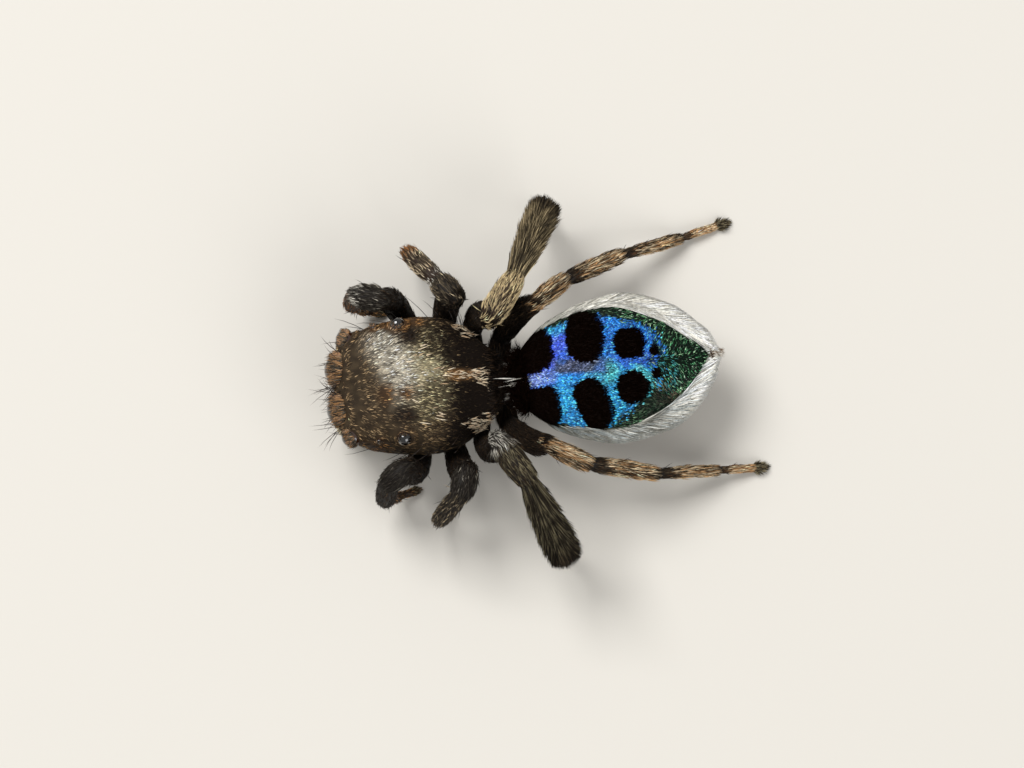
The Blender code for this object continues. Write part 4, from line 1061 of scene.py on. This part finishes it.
tip_height = back_height(tip_along, tip_across) + 0.015 + 0.05 * draw.random(count)
tip_height -= 0.10 * depth * (1 - out[:, 2]) * draw.random(count)
tip = np.stack([ABDOMEN_FRONT[0] + tip_across, ABDOMEN_FRONT[1] + tip_along, tip_height], axis=-1)
tip = turned(tip, ABDOMEN_YAW, ABDOMEN_FRONT)
run = tip - root
length = np.linalg.norm(run, axis=1)
lie = run / length[:, None]
out = along_surface(out, lie)
cream = mixed(BAND_GREY, BAND_CREAM, 0.25 + 0.75 * ramp(along, 0.3, 1.2))
streak = mottle(np.stack([across * 4, along * 0.5, root[:, 2] * 4], -1), 0.10, 14)
# Painted shade: a blue shadow in streaks over the left side of the fringe, dark streaks between the hairs, much
# stronger on the left and fading out at the rear, and a few dark hairs. Then each hair is made lighter toward
# the rear, partly whiter hair and partly painted light.
tint = mixed(cream, FRINGE_BLUE_SHADE, ramp(streak, 0.5, 0.8) * (hand > 0) * 0.55)
fringe_shade = (0.35 + 0.6 * (1 - ramp(streak, 0.30, 0.60))) * (1 - ramp(along, 1.55, 2.05))
fringe_shade = fringe_shade * np.where(hand > 0, 0.90, 0.25)
tint = mixed(tint, BAND_GREY * 0.45, np.maximum(fringe_shade, (draw.random(count) < 0.16 - 0.08 * rear) * 0.65))
tint = np.clip(tint * np.exp(draw.normal(0.10 * rear, 0.14, count))[:, None], 0, 1)
# White hair without pigment: it scatters light, so it looks bright and a little silky.
white_hair = finish("cream_white_hair", 0.03, roughness=0.5, specular=0.4)
fringe = tufts("plate_fringe", root, lie, out, np.stack([u, v], -1), length, width=0.012, thick=0.009,
               lift=0.12, curl=0.12, tint=tint * 0.85, tip_tint=tint, material=white_hair,
               rings=((0.0, 0.7), (0.35, 1.0), (0.7, 0.8)), sway=draw.normal(0, 0.04, count))
fit(fringe, "blue_plate", "abdomen")

draw = np.random.default_rng(81)
place = spread(abdomen, BELLY_HAIRS, lambda p, n: 1 - ramp(n[:, 2], -0.25, 0.05), 81, (240, 240))
belly = coat("belly_hairs", abdomen, place, draw, rearward,
             lambda p, n: picked(BAND_GREY * 1.2, BELLY_BROWN, 0.35 + 0.35 * ramp(n[:, 2], -0.7, 0.0), draw),
             scale_hair, length=(0.07, 0.13), width=0.013, thick=0.007, lift=(0.15, 0.4), curl=0.15,
             stray=0.25, shades=(0.8, 1.0), rings=((0.0, 1.0),))
fit(belly, "blue_plate", "abdomen")

# Black hairs hang forward over the waist, and a small spray of white ones points forward from the blue stem.
# Both are rooted in the abdomen's front.
draw = np.random.default_rng(85)
place = spread(abdomen, RUFF_HAIRS, lambda p, n: (own_place(p)[0] < 0.20) * (n[:, 2] > -0.3) + 1e-7, 85)
ruff = coat("front_black_hairs", abdomen, place, draw, (0.0, -0.2, 0.9), (VELVET * 3, VELVET, 0.3),
            velvet_scale, length=(0.10, 0.20), width=0.013, thick=0.008, lift=(0.5, 1.4), curl=0.25,
            stray=0.6, rings=((0.0, 1.0),))
fit(ruff, "blue_plate", "abdomen")

SPRAY_BOX = (0.16, 0.25, 0.236, 0.262, 10)
draw = np.random.default_rng(87)
spray = coat("stem_white_hairs", abdomen, sown((SPRAY_BOX,), 86), draw, (0.0, -1.0, 0.0), BAND_CREAM,
             white_hair, length=(0.18, 0.38), width=0.015, thick=0.010, lift=(0.35, 0.6), curl=0.0,
             stray=0.16, rings=((0.0, 0.8), (0.35, 1.0), (0.7, 0.8)))
fit(spray, "blue_plate", "abdomen")


# Three short spinnerets stand at the tip of the abdomen, brown, with a brush of pale hairs. They are soft cones
# of the same cuticle, two above and one below.
TAIL_BROWN, TAIL_TAN = paint("#32200f"), paint("#7d5f42")
SPINNERETS = ((-0.5, 0.1, 1.0), (0.5, 0.1, 1.0), (0.0, -0.6, 0.8))
SPINNERET_HAIRS = 130
tail = abdomen(np.array([1.0]), np.array([0.0]), 0.0)[0]
back = np.array([-math.sin(ABDOMEN_YAW), math.cos(ABDOMEN_YAW), 0.0])
beside = np.array([math.cos(ABDOMEN_YAW), math.sin(ABDOMEN_YAW), 0.0])


def spinneret_colour(points, u, v):
    """Brown, and tan toward the tip."""
    return mixed(TAIL_BROWN, TAIL_TAN, ramp(u, 0.6, 1.0))


for number, (x, z, reach) in enumerate(SPINNERETS, 1):
    base = tail + beside * (x * 0.045) + np.array([0, 0, z * 0.045]) - back * 0.03
    line = [base + back * (0.12 * reach * t) for t in (0, 0.4, 0.8, 1.0)]
    cone = limb(line, [0.040, 0.035, 0.025, 0.015], cap=0.12)
    piece = skin_mesh(f"spinneret_{number}", cone, 24, 28, spinneret_colour, cuticle)
    fit(piece, "dark_shell", "spinnerets")
    seed = 89 + number
    draw = np.random.default_rng(seed)
    u, v = spread(cone, SPINNERET_HAIRS, evenly, seed, (60, 40))
    hairs = coat(f"spinneret_hairs_{number}", cone, (u, v), draw, cone.heading(u),
                 (BAND_CREAM * 0.9, TAIL_TAN, 0.7), scale_hair, length=(0.06, 0.11), width=0.011, thick=0.006,
                 lift=0.3, curl=0.1, stray=0.2, sink=0.004)
    fit(hairs, "dark_shell", "spinnerets")


# Eight legs of five parts on short hips. Each is one tube of cuticle, waisted at its joints, and stands bent in
# the pose: the first two pairs short and dark, the third with dense brushes on its shins, the fourth pale.
LEG_PAIRS = {
    1: dict(root=(0.276, -1.60), hip=(0.80, -1.72), bow=(0.28, -0.27),
            lengths=(0.95, 0.34, 0.62, 0.46, 0.31), radii=(0.178, 0.180, 0.150, 0.090, 0.070)),
    2: dict(root=(0.290, -1.26), hip=(0.82, -1.30), bow=(0.30, -0.12),
            lengths=(1.02, 0.32, 0.66, 0.58, 0.42), radii=(0.185, 0.180, 0.142, 0.090, 0.070)),
    3: dict(root=(0.289, -0.93), hip=(0.74, -0.93), bow=(0.30, -0.08),
            lengths=(1.22, 0.63, 0.98, 0.80, 0.46), radii=(0.170, 0.185, 0.120, 0.085, 0.065)),
    4: dict(root=(0.251, -0.61), hip=(0.56, -0.58), bow=(0.14, -0.05),
            lengths=(1.02, 0.61, 0.97, 0.90, 0.64), radii=(0.155, 0.128, 0.112, 0.082, 0.062)),
}
# Heading from straight out, positive toward the rear, and rise, in degrees. The last part has only a heading.
LEG_POSE = {
    (1, "right"): ((-48, 66), (-73, -9), (-98, -81), (100, -72), 97),
    (1, "left"): ((-29, 69), (-58, -20), (-28, -75), (118, -63), 107),
    (2, "right"): ((50, 75), (-38, -24), (-38, -26), (65, -86), 135),
    (2, "left"): ((21, 65), (-18, 15), (-53, -52), (160, -79), 140),
    (3, "right"): ((118, 78), (36, -9), (27, -20), (17, -85), 17),
    (3, "left"): ((50, 78), (32, -4), (22, -22), (-155, -84), -155),
    (4, "right"): ((60, 60), (54, -27), (66, -31), (75, -27), 75),
    (4, "left"): ((48, 54), (61, -14), (80, -26), (92, -30), 91),
}
LEG_PARTS = ("femur", "patella", "tibia", "metatarsus", "tarsus")
HIP_HEIGHT, HIP_RADIUS, FOOT_HEIGHT = 0.43, 0.135, 0.030


def pointing(side, heading, rise):
    """A unit step: cos(rise) cos(heading) out, cos(rise) sin(heading) to the rear and sin(rise) up."""
    level = math.cos(rise)
    return np.array([side * level * math.cos(heading), level * math.sin(heading), math.sin(rise)])


def leg_course(pair, side, side_name):
    """The leg's middle line with its radii, and the share of its length at which each part ends. The line goes
    from the hip in a bow to the knee, then straight from joint to joint, with its corners rounded by a moving
    mean over 0.14 mm."""
    sizes, pose = LEG_PAIRS[pair], LEG_POSE[pair, side_name]
    root = np.array([side * sizes["root"][0], sizes["root"][1], HIP_HEIGHT])
    hip = np.array([side * sizes["hip"][0], sizes["hip"][1], HIP_HEIGHT])
    joints = [hip]
    for length, (heading, rise) in zip(sizes["lengths"][:4], pose[:4]):
        step = pointing(side, math.radians(heading), math.radians(rise))
        joints.append(joints[-1] + step * length)
    reach = sizes["lengths"][4]
    rise = math.asin(max(-1.0, (FOOT_HEIGHT - joints[-1][2]) / reach))
    joints.append(joints[-1] + pointing(side, math.radians(pose[4]), rise) * reach)
    knee = joints[1]
    middle = (hip + knee) / 2 + np.array([side * sizes["bow"][0], 0.0, sizes["bow"][1]])
    steps = np.array([0.15, 0.32, 0.5, 0.68, 0.84, 1.0])[:, None]
    start = root + (hip - root) * 0.75
    inner = start + (hip + (middle - hip) * 0.25 - start) * steps
    early, late = hip + (middle - hip) * steps, middle + (knee - middle) * steps
    outer = early + (late - early) * steps
    thigh = inner + (outer - inner) * np.minimum(1.0, steps * 1.6)
    line = [root, root + (hip - root) * 0.4, start, *thigh]
    radii = [HIP_RADIUS * fullness for fullness in (0.90, 1.0, 0.94)]
    radii += [sizes["radii"][0] * fullness for fullness in (0.80, 0.90, 0.98, 1.0, 0.95, 0.80)]
    part = [0.0, 0.15, 0.3, 0.4, 0.5, 0.62, 0.75, 0.88, 1.0]
    for k in range(1, 5):
        begin, end = joints[k], joints[k + 1]
        fullnesses = (0.93, 1.0, 1.0, 0.93, 0.78 if k < 4 else 0.62)
        for share, fullness in zip((0.12, 0.35, 0.65, 0.88, 1.0), fullnesses):
            line.append(begin + (end - begin) * share)
            radii.append(sizes["radii"][k] * fullness)
            part.append(k + share)
    line, radii, part = np.array(line), np.array(radii), np.array(part)
    at = np.append(0.0, np.cumsum(np.linalg.norm(np.diff(line, axis=0), axis=1)))
    fine = np.linspace(0.0, at[-1], 600)
    window = int(0.14 / at[-1] * 600) | 1
    kernel = np.hanning(window + 2)[1:-1]
    kernel /= kernel.sum()

    def rounded(values):
        values = np.interp(fine, at, values)
        ends = window // 2
        before = 2 * values[0] - values[ends:0:-1]
        after = 2 * values[-1] - values[-2:-ends - 2:-1]
        return np.convolve(np.concatenate([before, values, after]), kernel, "valid")

    course = np.stack([rounded(line[:, k]) for k in range(3)], axis=-1)
    return course, rounded(radii), np.interp(fine, at, part), joints


CUTICLE_BLACK, CUTICLE_BROWN, CUTICLE_TAN = paint("#120c07"), paint("#291c12"), paint("#6b482a")
HAIR_BLACK, HAIR_BROWN, HAIR_RUST = paint("#19120b"), paint("#4c3b29"), paint("#9c6a3e")
HAIR_OLIVE, HAIR_CREAM, HAIR_SAND = paint("#a79b7a"), paint("#ecd5b0"), paint("#d09e68")
HAIR_WHITE, HAIR_GREY, HAIR_UMBER = paint("#ece6d8"), paint("#a39c8e"), paint("#2d2217")
HAIR_SOOT, HAIR_OLIVE_WARM = paint("#41382a"), paint("#cdb78d")
# For each part: cuticle, pale hair, dark hair and the share of pale hairs.
DARK_THIGH = (CUTICLE_BLACK, HAIR_BROWN, HAIR_BLACK, 0.08)
LOW_PART = (CUTICLE_BROWN, HAIR_SAND, HAIR_BROWN, 0.45)
THIN_SHIN = (CUTICLE_BROWN, HAIR_BROWN, HAIR_BLACK, 0.4)
LEG_TONES = {
    (1, "right"): (DARK_THIGH, (CUTICLE_BLACK, HAIR_GREY, HAIR_BLACK, 0.07),
                   (CUTICLE_BROWN, HAIR_RUST, HAIR_UMBER, 0.5), LOW_PART, LOW_PART),
    (1, "left"): (DARK_THIGH, (CUTICLE_BLACK, HAIR_GREY * 0.8, HAIR_BLACK, 0.04),
                  (CUTICLE_BLACK, HAIR_BROWN, HAIR_BLACK, 0.12), LOW_PART, LOW_PART),
    (2, "right"): (DARK_THIGH, (CUTICLE_BLACK, HAIR_CREAM, HAIR_BLACK, 0.07),
                   (CUTICLE_BROWN, HAIR_CREAM, HAIR_BLACK * 1.5, 0.42), LOW_PART, LOW_PART),
    (2, "left"): (DARK_THIGH, (CUTICLE_BLACK, HAIR_GREY, HAIR_BLACK, 0.04),
                  (CUTICLE_BLACK, HAIR_CREAM * 0.7, HAIR_BLACK, 0.16), LOW_PART, LOW_PART),
    (3, "right"): (DARK_THIGH, (CUTICLE_BROWN, HAIR_OLIVE_WARM * 1.3, HAIR_SOOT, 0.84),
                   (CUTICLE_BROWN, HAIR_OLIVE_WARM * 0.58, HAIR_SOOT * 0.65, 0.58), THIN_SHIN, LOW_PART),
    (3, "left"): (DARK_THIGH, (CUTICLE_BLACK, HAIR_OLIVE * 0.55, HAIR_UMBER * 0.9, 0.30),
                  (CUTICLE_BLACK, HAIR_OLIVE * 0.42, HAIR_BLACK, 0.28), THIN_SHIN, LOW_PART),
    (4, "right"): (DARK_THIGH, (CUTICLE_TAN, HAIR_CREAM * 1.1, HAIR_UMBER * 1.2, 0.62),
                   (CUTICLE_TAN * 0.7, HAIR_CREAM * 1.1, HAIR_UMBER, 0.55),
                   (CUTICLE_TAN * 0.6, HAIR_CREAM, HAIR_UMBER * 1.1, 0.52),
                   (CUTICLE_TAN, HAIR_CREAM, HAIR_RUST * 0.5, 0.68)),
    (4, "left"): (DARK_THIGH, (CUTICLE_TAN * 0.8, HAIR_CREAM, HAIR_UMBER, 0.58),
                  (CUTICLE_TAN * 0.7, HAIR_CREAM, HAIR_UMBER, 0.56),
                  (CUTICLE_TAN * 0.7, HAIR_CREAM * 0.95, HAIR_UMBER, 0.54),
                  (CUTICLE_TAN * 0.9, HAIR_CREAM * 0.85, HAIR_RUST * 0.4, 0.60)),
}


def leg_tones(pair, side_name, part, points):
    """Cuticle, pale and dark hair colours and the pale share, for places given as part number plus share."""
    tones = LEG_TONES[pair, side_name]
    index = np.clip(np.floor(part + 0.10 * (mottle(points, 0.06, 17) - 0.5)), 0, 4).astype(int)
    rows = [np.array([tone[k] for tone in tones]) for k in range(4)]
    skin, pale, dark, share = (row[index] for row in rows)
    along = part - np.floor(part)
    if pair == 4:
        ring = (np.maximum(ramp(along, 0.82, 0.92), 1 - ramp(along, 0.08, 0.20))) * (part > 1.5) * (part < 4.2)
        skin, pale = mixed(skin, CUTICLE_BLACK, ring), mixed(pale, HAIR_BROWN, ring * 0.8)
        dark = mixed(dark, HAIR_BLACK, ring * 0.85)
        share = share * (1 - 0.88 * ring)
    if (pair, side_name) in ((1, "right"), (2, "right")):
        knee = patch_share(part, 0 * part, (1.98 if pair == 2 else 1.85, 0), (0.16, 1.0), 0, 0.6)
        pale, share = dusted(pale, share, HAIR_WHITE * 0.8, knee, 0.6)
        end = ramp(part, 2.62, 2.85) * (part < 3.1)
        pale, share = dusted(pale, share, HAIR_RUST, end, 0.75)
        dark = mixed(dark, HAIR_BROWN, end)
    if (pair, side_name) == (3, "left"):
        knee = (1 - ramp(part, 1.04, 1.18)) * (part > 0.97)
        pale, share = dusted(pale, share, HAIR_WHITE * 0.62, knee, 0.55)
    if pair == 3:
        end = ramp(part, 2.65, 2.95) * (part < 3)
        pale, dark = mixed(pale, HAIR_BROWN * 0.7, end * 0.8), mixed(dark, HAIR_BLACK, end)
    return skin, pale, dark, share


# Leg cuticle, thin and supple: a dull brown ground that shines a little where the hairs part.
leg_cuticle = finish("hairy_leg_cuticle", 0.02, roughness=0.6, specular=0.2)
COAT_HAIRS = {1: 4400, 2: 4600, 3: 5800, 4: 7200}
COAT_STRETCH = {1: 1.0, 2: 1.0, 3: 1.25, 4: 1.6}
COAT_LIFT = {1: 1.4, 2: 1.5, 3: 1.0, 4: 1.4}
SPINES, BRUSH_HAIRS = 60, 4700
BRUSH_AT = (0.0, 0.2, 0.45, 0.75, 1.0, 1.15, 1.28)
BRUSH_REACH = {
    "right": (0.13, 0.155, 0.185, 0.215, 0.235, 0.225, 0.15),
    "left": (0.13, 0.16, 0.20, 0.235, 0.25, 0.23, 0.15),
}


def claw_colour(points, u, v):
    """Black, and brown toward the point."""
    return mixed(HAIR_BLACK, CUTICLE_BROWN, u)


for pair in LEG_PAIRS:
    for side, side_name in ((-1, "right"), (1, "left")):
        course, radii, part_at, joints = leg_course(pair, side, side_name)
        leg = limb(course, radii - COAT_DEPTH, samples=600, cap=0.012)
        span = np.linspace(0.0, 1.0, 600)
        label = f"leg_{pair}_{side_name}"
        nodes = [f"{label}_{part}" for part in LEG_PARTS]
        pale_leg = pair == 4
        slot = "pale_leg" if pale_leg else "dark_leg"

        def part_of(u):
            return np.interp(u, span, part_at)

        def leg_skin_colour(points, u, v):
            return leg_tones(pair, side_name, part_of(u), points)[0]

        skin = skin_mesh(f"{label}_skin", leg, 180, 32, leg_skin_colour, leg_cuticle)
        fit(skin, slot, *nodes)

        # Hairs over the whole leg, toward the foot; longest on the pale legs and shortest on the feet.
        seed = 100 + pair * 2 + (side > 0)
        draw = np.random.default_rng(seed)
        count = COAT_HAIRS[pair]
        low_density = 1.6 if pale_leg else 0.8
        u, v = spread(leg, count, lambda p, n: 1.0 + low_density * (p[:, 2] < 0.35), seed, (500, 60))
        root, out, _ = surface_frame(leg, u, v)
        part = part_of(u)
        _, pale, dark, share = leg_tones(pair, side_name, part, root)
        sandy = (draw.random(count) < 0.45) * (share > 0.35) * pale_leg
        pale = mixed(pale, HAIR_SAND, sandy * 0.85)
        streak = mottle(np.stack([v * (9 if pale_leg else 5), u * 3, part * 0], -1), 1.0, 19) - 0.5
        tint = picked(pale, dark, np.clip(share + 0.8 * streak * (share > 0.2), 0, 1), draw, 0.25)
        lie = veer(along_surface(leg.heading(u), out), out, draw.normal(0, 0.12 if pale_leg else 0.2, count))
        length = draw.uniform(0.08, 0.15, count) * (1 - 0.35 * ramp(part, 3.6, 4.4)) * COAT_STRETCH[pair]
        if pale_leg:
            room = (1 - part % 1.0) * np.array(LEG_PAIRS[pair]["lengths"])[np.clip(part.astype(int), 0, 4)]
            length = np.where(part > 1.0, np.minimum(length, 0.055 + room), length)
        width = draw.uniform(0.009, 0.013, count) * (1.1 if pale_leg else 1.0)
        lift = draw.uniform(0.10, 0.34, count) * COAT_LIFT[pair]
        hairs = tufts(f"{label}_hairs", root, lie, out, np.stack([u, v], -1), length, width, 0.6 * width, lift,
                      lift * 0.6, tint * 0.8, np.clip(tint * 1.15, 0, 1), scale_hair, floor=0.004)
        fit(hairs, slot, *nodes)

        # Stiff dark spines stand off the legs at a slant.
        draw = np.random.default_rng(seed + 20)
        u, v = sown(((0.30, 0.97, 0.0, 1.0, SPINES),), seed + 20)
        spines = coat(f"{label}_spines", leg, (u, v), draw,
                      leg.heading(u) + draw.normal(0, 0.2, (SPINES, 3)), HAIR_BLACK, bristle,
                      length=(0.09, 0.17), width=0.010, thick=0.010, lift=(0.4, 0.9), curl=0.2,
                      stretch=1 - 0.4 * ramp(part_of(u), 3.5, 4.5), shades=(1.0, 2.0),
                      rings=((0.0, 0.9), (0.5, 0.7)), floor=0.004)
        fit(spines, slot, *nodes)

        # Two small curved claws at the foot, with a dark pad of short hairs about them.
        ahead = leg.heading(np.array([0.999]))[0]
        level = np.array([ahead[0], ahead[1], 0.0]) / max(math.hypot(ahead[0], ahead[1]), 1e-6)
        beside = np.array([-level[1], level[0], 0.0])
        for number, lean in ((1, -1), (2, 1)):
            start = joints[-1] + beside * (0.014 * lean) - ahead * 0.03
            line = [start + level * reach + np.array([0, 0, rise])
                    for reach, rise in ((0.0, 0.0), (0.035, 0.012), (0.062, 0.006), (0.072, -0.008))]
            claw = limb(line, [0.008, 0.007, 0.005, 0.0025], samples=60, cap=0.1)
            piece = skin_mesh(f"{label}_claw_{number}", claw, 20, 10, claw_colour, bristle)
            fit(piece, "dark_leg", nodes[-1])
        count = 420 if pale_leg else 260
        draw = np.random.default_rng(seed + 40)
        u = draw.uniform(0.965 if pale_leg else 0.955, 0.999, count)
        v = draw.random(count)
        bush = 1.0 if pale_leg else 0.6
        pad = coat(f"{label}_foot_pad", leg, (u, v), draw, leg.heading(u),
                   (HAIR_OLIVE * 0.7, HAIR_BLACK * 1.8, 0.45), scale_hair,
                   length=(0.06 * bush, 0.095 * bush), width=0.011, thick=0.008,
                   lift=(0.3 * bush, 1.3 * bush), curl=0.25, sink=0.005, floor=0.004)
        fit(pad, "dark_leg", nodes[-1])

        if pair != 3:
            continue
        # The brush: dense hairs all round the shin, combed toward the foot, that end together in a blunt tip.
        draw = np.random.default_rng(seed + 60)
        count = BRUSH_HAIRS
        begin, end = joints[2], joints[3]
        ahead = (end - begin) / np.linalg.norm(end - begin)
        shin = np.linalg.norm(end - begin)
        low, high = np.interp([2.0, 2.99], part_at, span)
        u = low + (high - low) * draw.random(count) ** 0.85
        v = draw.random(count)
        root, out, _ = surface_frame(leg, u, v)
        along = (root - begin) @ ahead
        foot_line = begin + along[:, None] * ahead
        outward = root - foot_line
        outward /= np.linalg.norm(outward, axis=1, keepdims=True)
        height = draw.random(count) ** 0.6
        reach = draw.uniform(0.24, 0.42, count)
        blunt_end = shin + 0.20 + 0.10 * (1 - height**2) * draw.uniform(0.6, 1.0, count)
        tip_along = np.minimum(along + reach, blunt_end)
        envelope = profile(BRUSH_AT, BRUSH_REACH[side_name], np.clip(tip_along, 0.0, 1.28))
        tip = begin + tip_along[:, None] * ahead + outward * (envelope * (0.45 + 0.58 * height))[:, None]
        tip = tip + draw.normal(0, 0.012, (count, 3))
        run = tip - root
        length = np.linalg.norm(run, axis=1)
        lie = run / length[:, None]
        out = along_surface(outward, lie)
        tone = mottle(np.stack([v * 9, u * 4, u * 0], -1), 1.0, 23)
        _, pale, dark, share = leg_tones(pair, side_name, part_of(u), root)
        tint = picked(pale, dark, np.clip(share + 0.5 * (tone - 0.5), 0, 1), draw, 0.25)
        end_dark = (1 - 0.35 * ramp(tip_along, shin, shin + 0.25))[:, None]
        brush = tufts(f"{label}_brush", root, lie, out, np.stack([u, v], -1), length, width=0.013, thick=0.009,
                      lift=0.02, curl=-0.03, tint=tint * 0.8, tip_tint=tint * end_dark, material=scale_hair,
                      rings=((0.0, 0.7), (0.4, 1.0), (0.75, 0.8)), sink=0.01)
        fit(brush, "brush", nodes[2])


# The stage is a plain pale floor, with a broad soft light overhead toward the head and a weaker one from the
# other side. The camera looks down nearly upright, so far off that nothing seems to taper.
FIELD = 13.03
CAMERA_DISTANCE = 90.0
CAMERA_TILT, CAMERA_ROLL = math.radians(8.5), math.radians(5.4)
AIM = (-0.4835, -0.0216)


def plain_finish(name, colour, roughness):
    """One colour and one roughness."""
    material = bpy.data.materials.new(name)
    material.use_nodes = True
    shader = material.node_tree.nodes["Principled BSDF"]
    shader.inputs["Base Color"].default_value = (*paint(colour), 1.0)
    shader.inputs["Roughness"].default_value = roughness
    return material


bpy.ops.mesh.primitive_plane_add(size=0.6)
floor = bpy.context.object
floor.name = "floor"
# Painted board, matt: it only catches the soft shadow.
floor.data.materials.append(plain_finish("matt_pale_board", "#c9c5bd", 0.8))


def look_along(target, direction, distance, up):
    """A placement whose -Z axis points at the target from a distance along a direction, with +Y near up."""
    back = np.asarray(direction, float) / np.linalg.norm(direction)
    right = np.cross(up, back)
    right /= np.linalg.norm(right)
    top = np.cross(back, right)
    place = np.asarray(target, float) + back * distance
    rows = [[right[k], top[k], back[k], place[k]] for k in range(3)] + [[0, 0, 0, 1]]
    return Matrix(rows)


right = np.array([0.0, 1.0, 0.0])
top = np.array([-math.cos(CAMERA_TILT), 0.0, math.sin(CAMERA_TILT)])
right, top = (math.cos(CAMERA_ROLL) * right - math.sin(CAMERA_ROLL) * top,
              math.sin(CAMERA_ROLL) * right + math.cos(CAMERA_ROLL) * top)
back = np.cross(right, top)
middle = (right * AIM[0] + top * AIM[1] + back * 0.9) * MM
lens = bpy.data.cameras.new("camera")
lens.sensor_width = 36.0
lens.lens = 36.0 * CAMERA_DISTANCE / FIELD
lens.clip_start, lens.clip_end = 0.001, 10.0
camera = bpy.data.objects.new("camera", lens)
camera.matrix_world = look_along(middle, back, CAMERA_DISTANCE * MM, top)
bpy.context.scene.collection.objects.link(camera)
bpy.context.scene.camera = camera

for name, direction, distance, size, power in (
        ("key_light", (-0.55, -0.45, 1.0), 0.16, 0.09, 0.28),
        ("fill_light", (0.9, 0.7, 0.8), 0.18, 0.12, 0.15)):
    light = bpy.data.lights.new(name, "AREA")
    light.size, light.energy = size, power
    lamp = bpy.data.objects.new(name, light)
    lamp.matrix_world = look_along((0.0, 0.0, 0.001), direction, distance, (0.0, 1.0, 0.1))
    bpy.context.scene.collection.objects.link(lamp)

world = bpy.data.worlds.new("studio")
world.use_nodes = True
world.node_tree.nodes["Background"].inputs["Color"].default_value = (1.0, 1.0, 1.0, 1.0)
world.node_tree.nodes["Background"].inputs["Strength"].default_value = 0.45
bpy.context.scene.world = world
bpy.context.scene.view_settings.view_transform = "Standard"
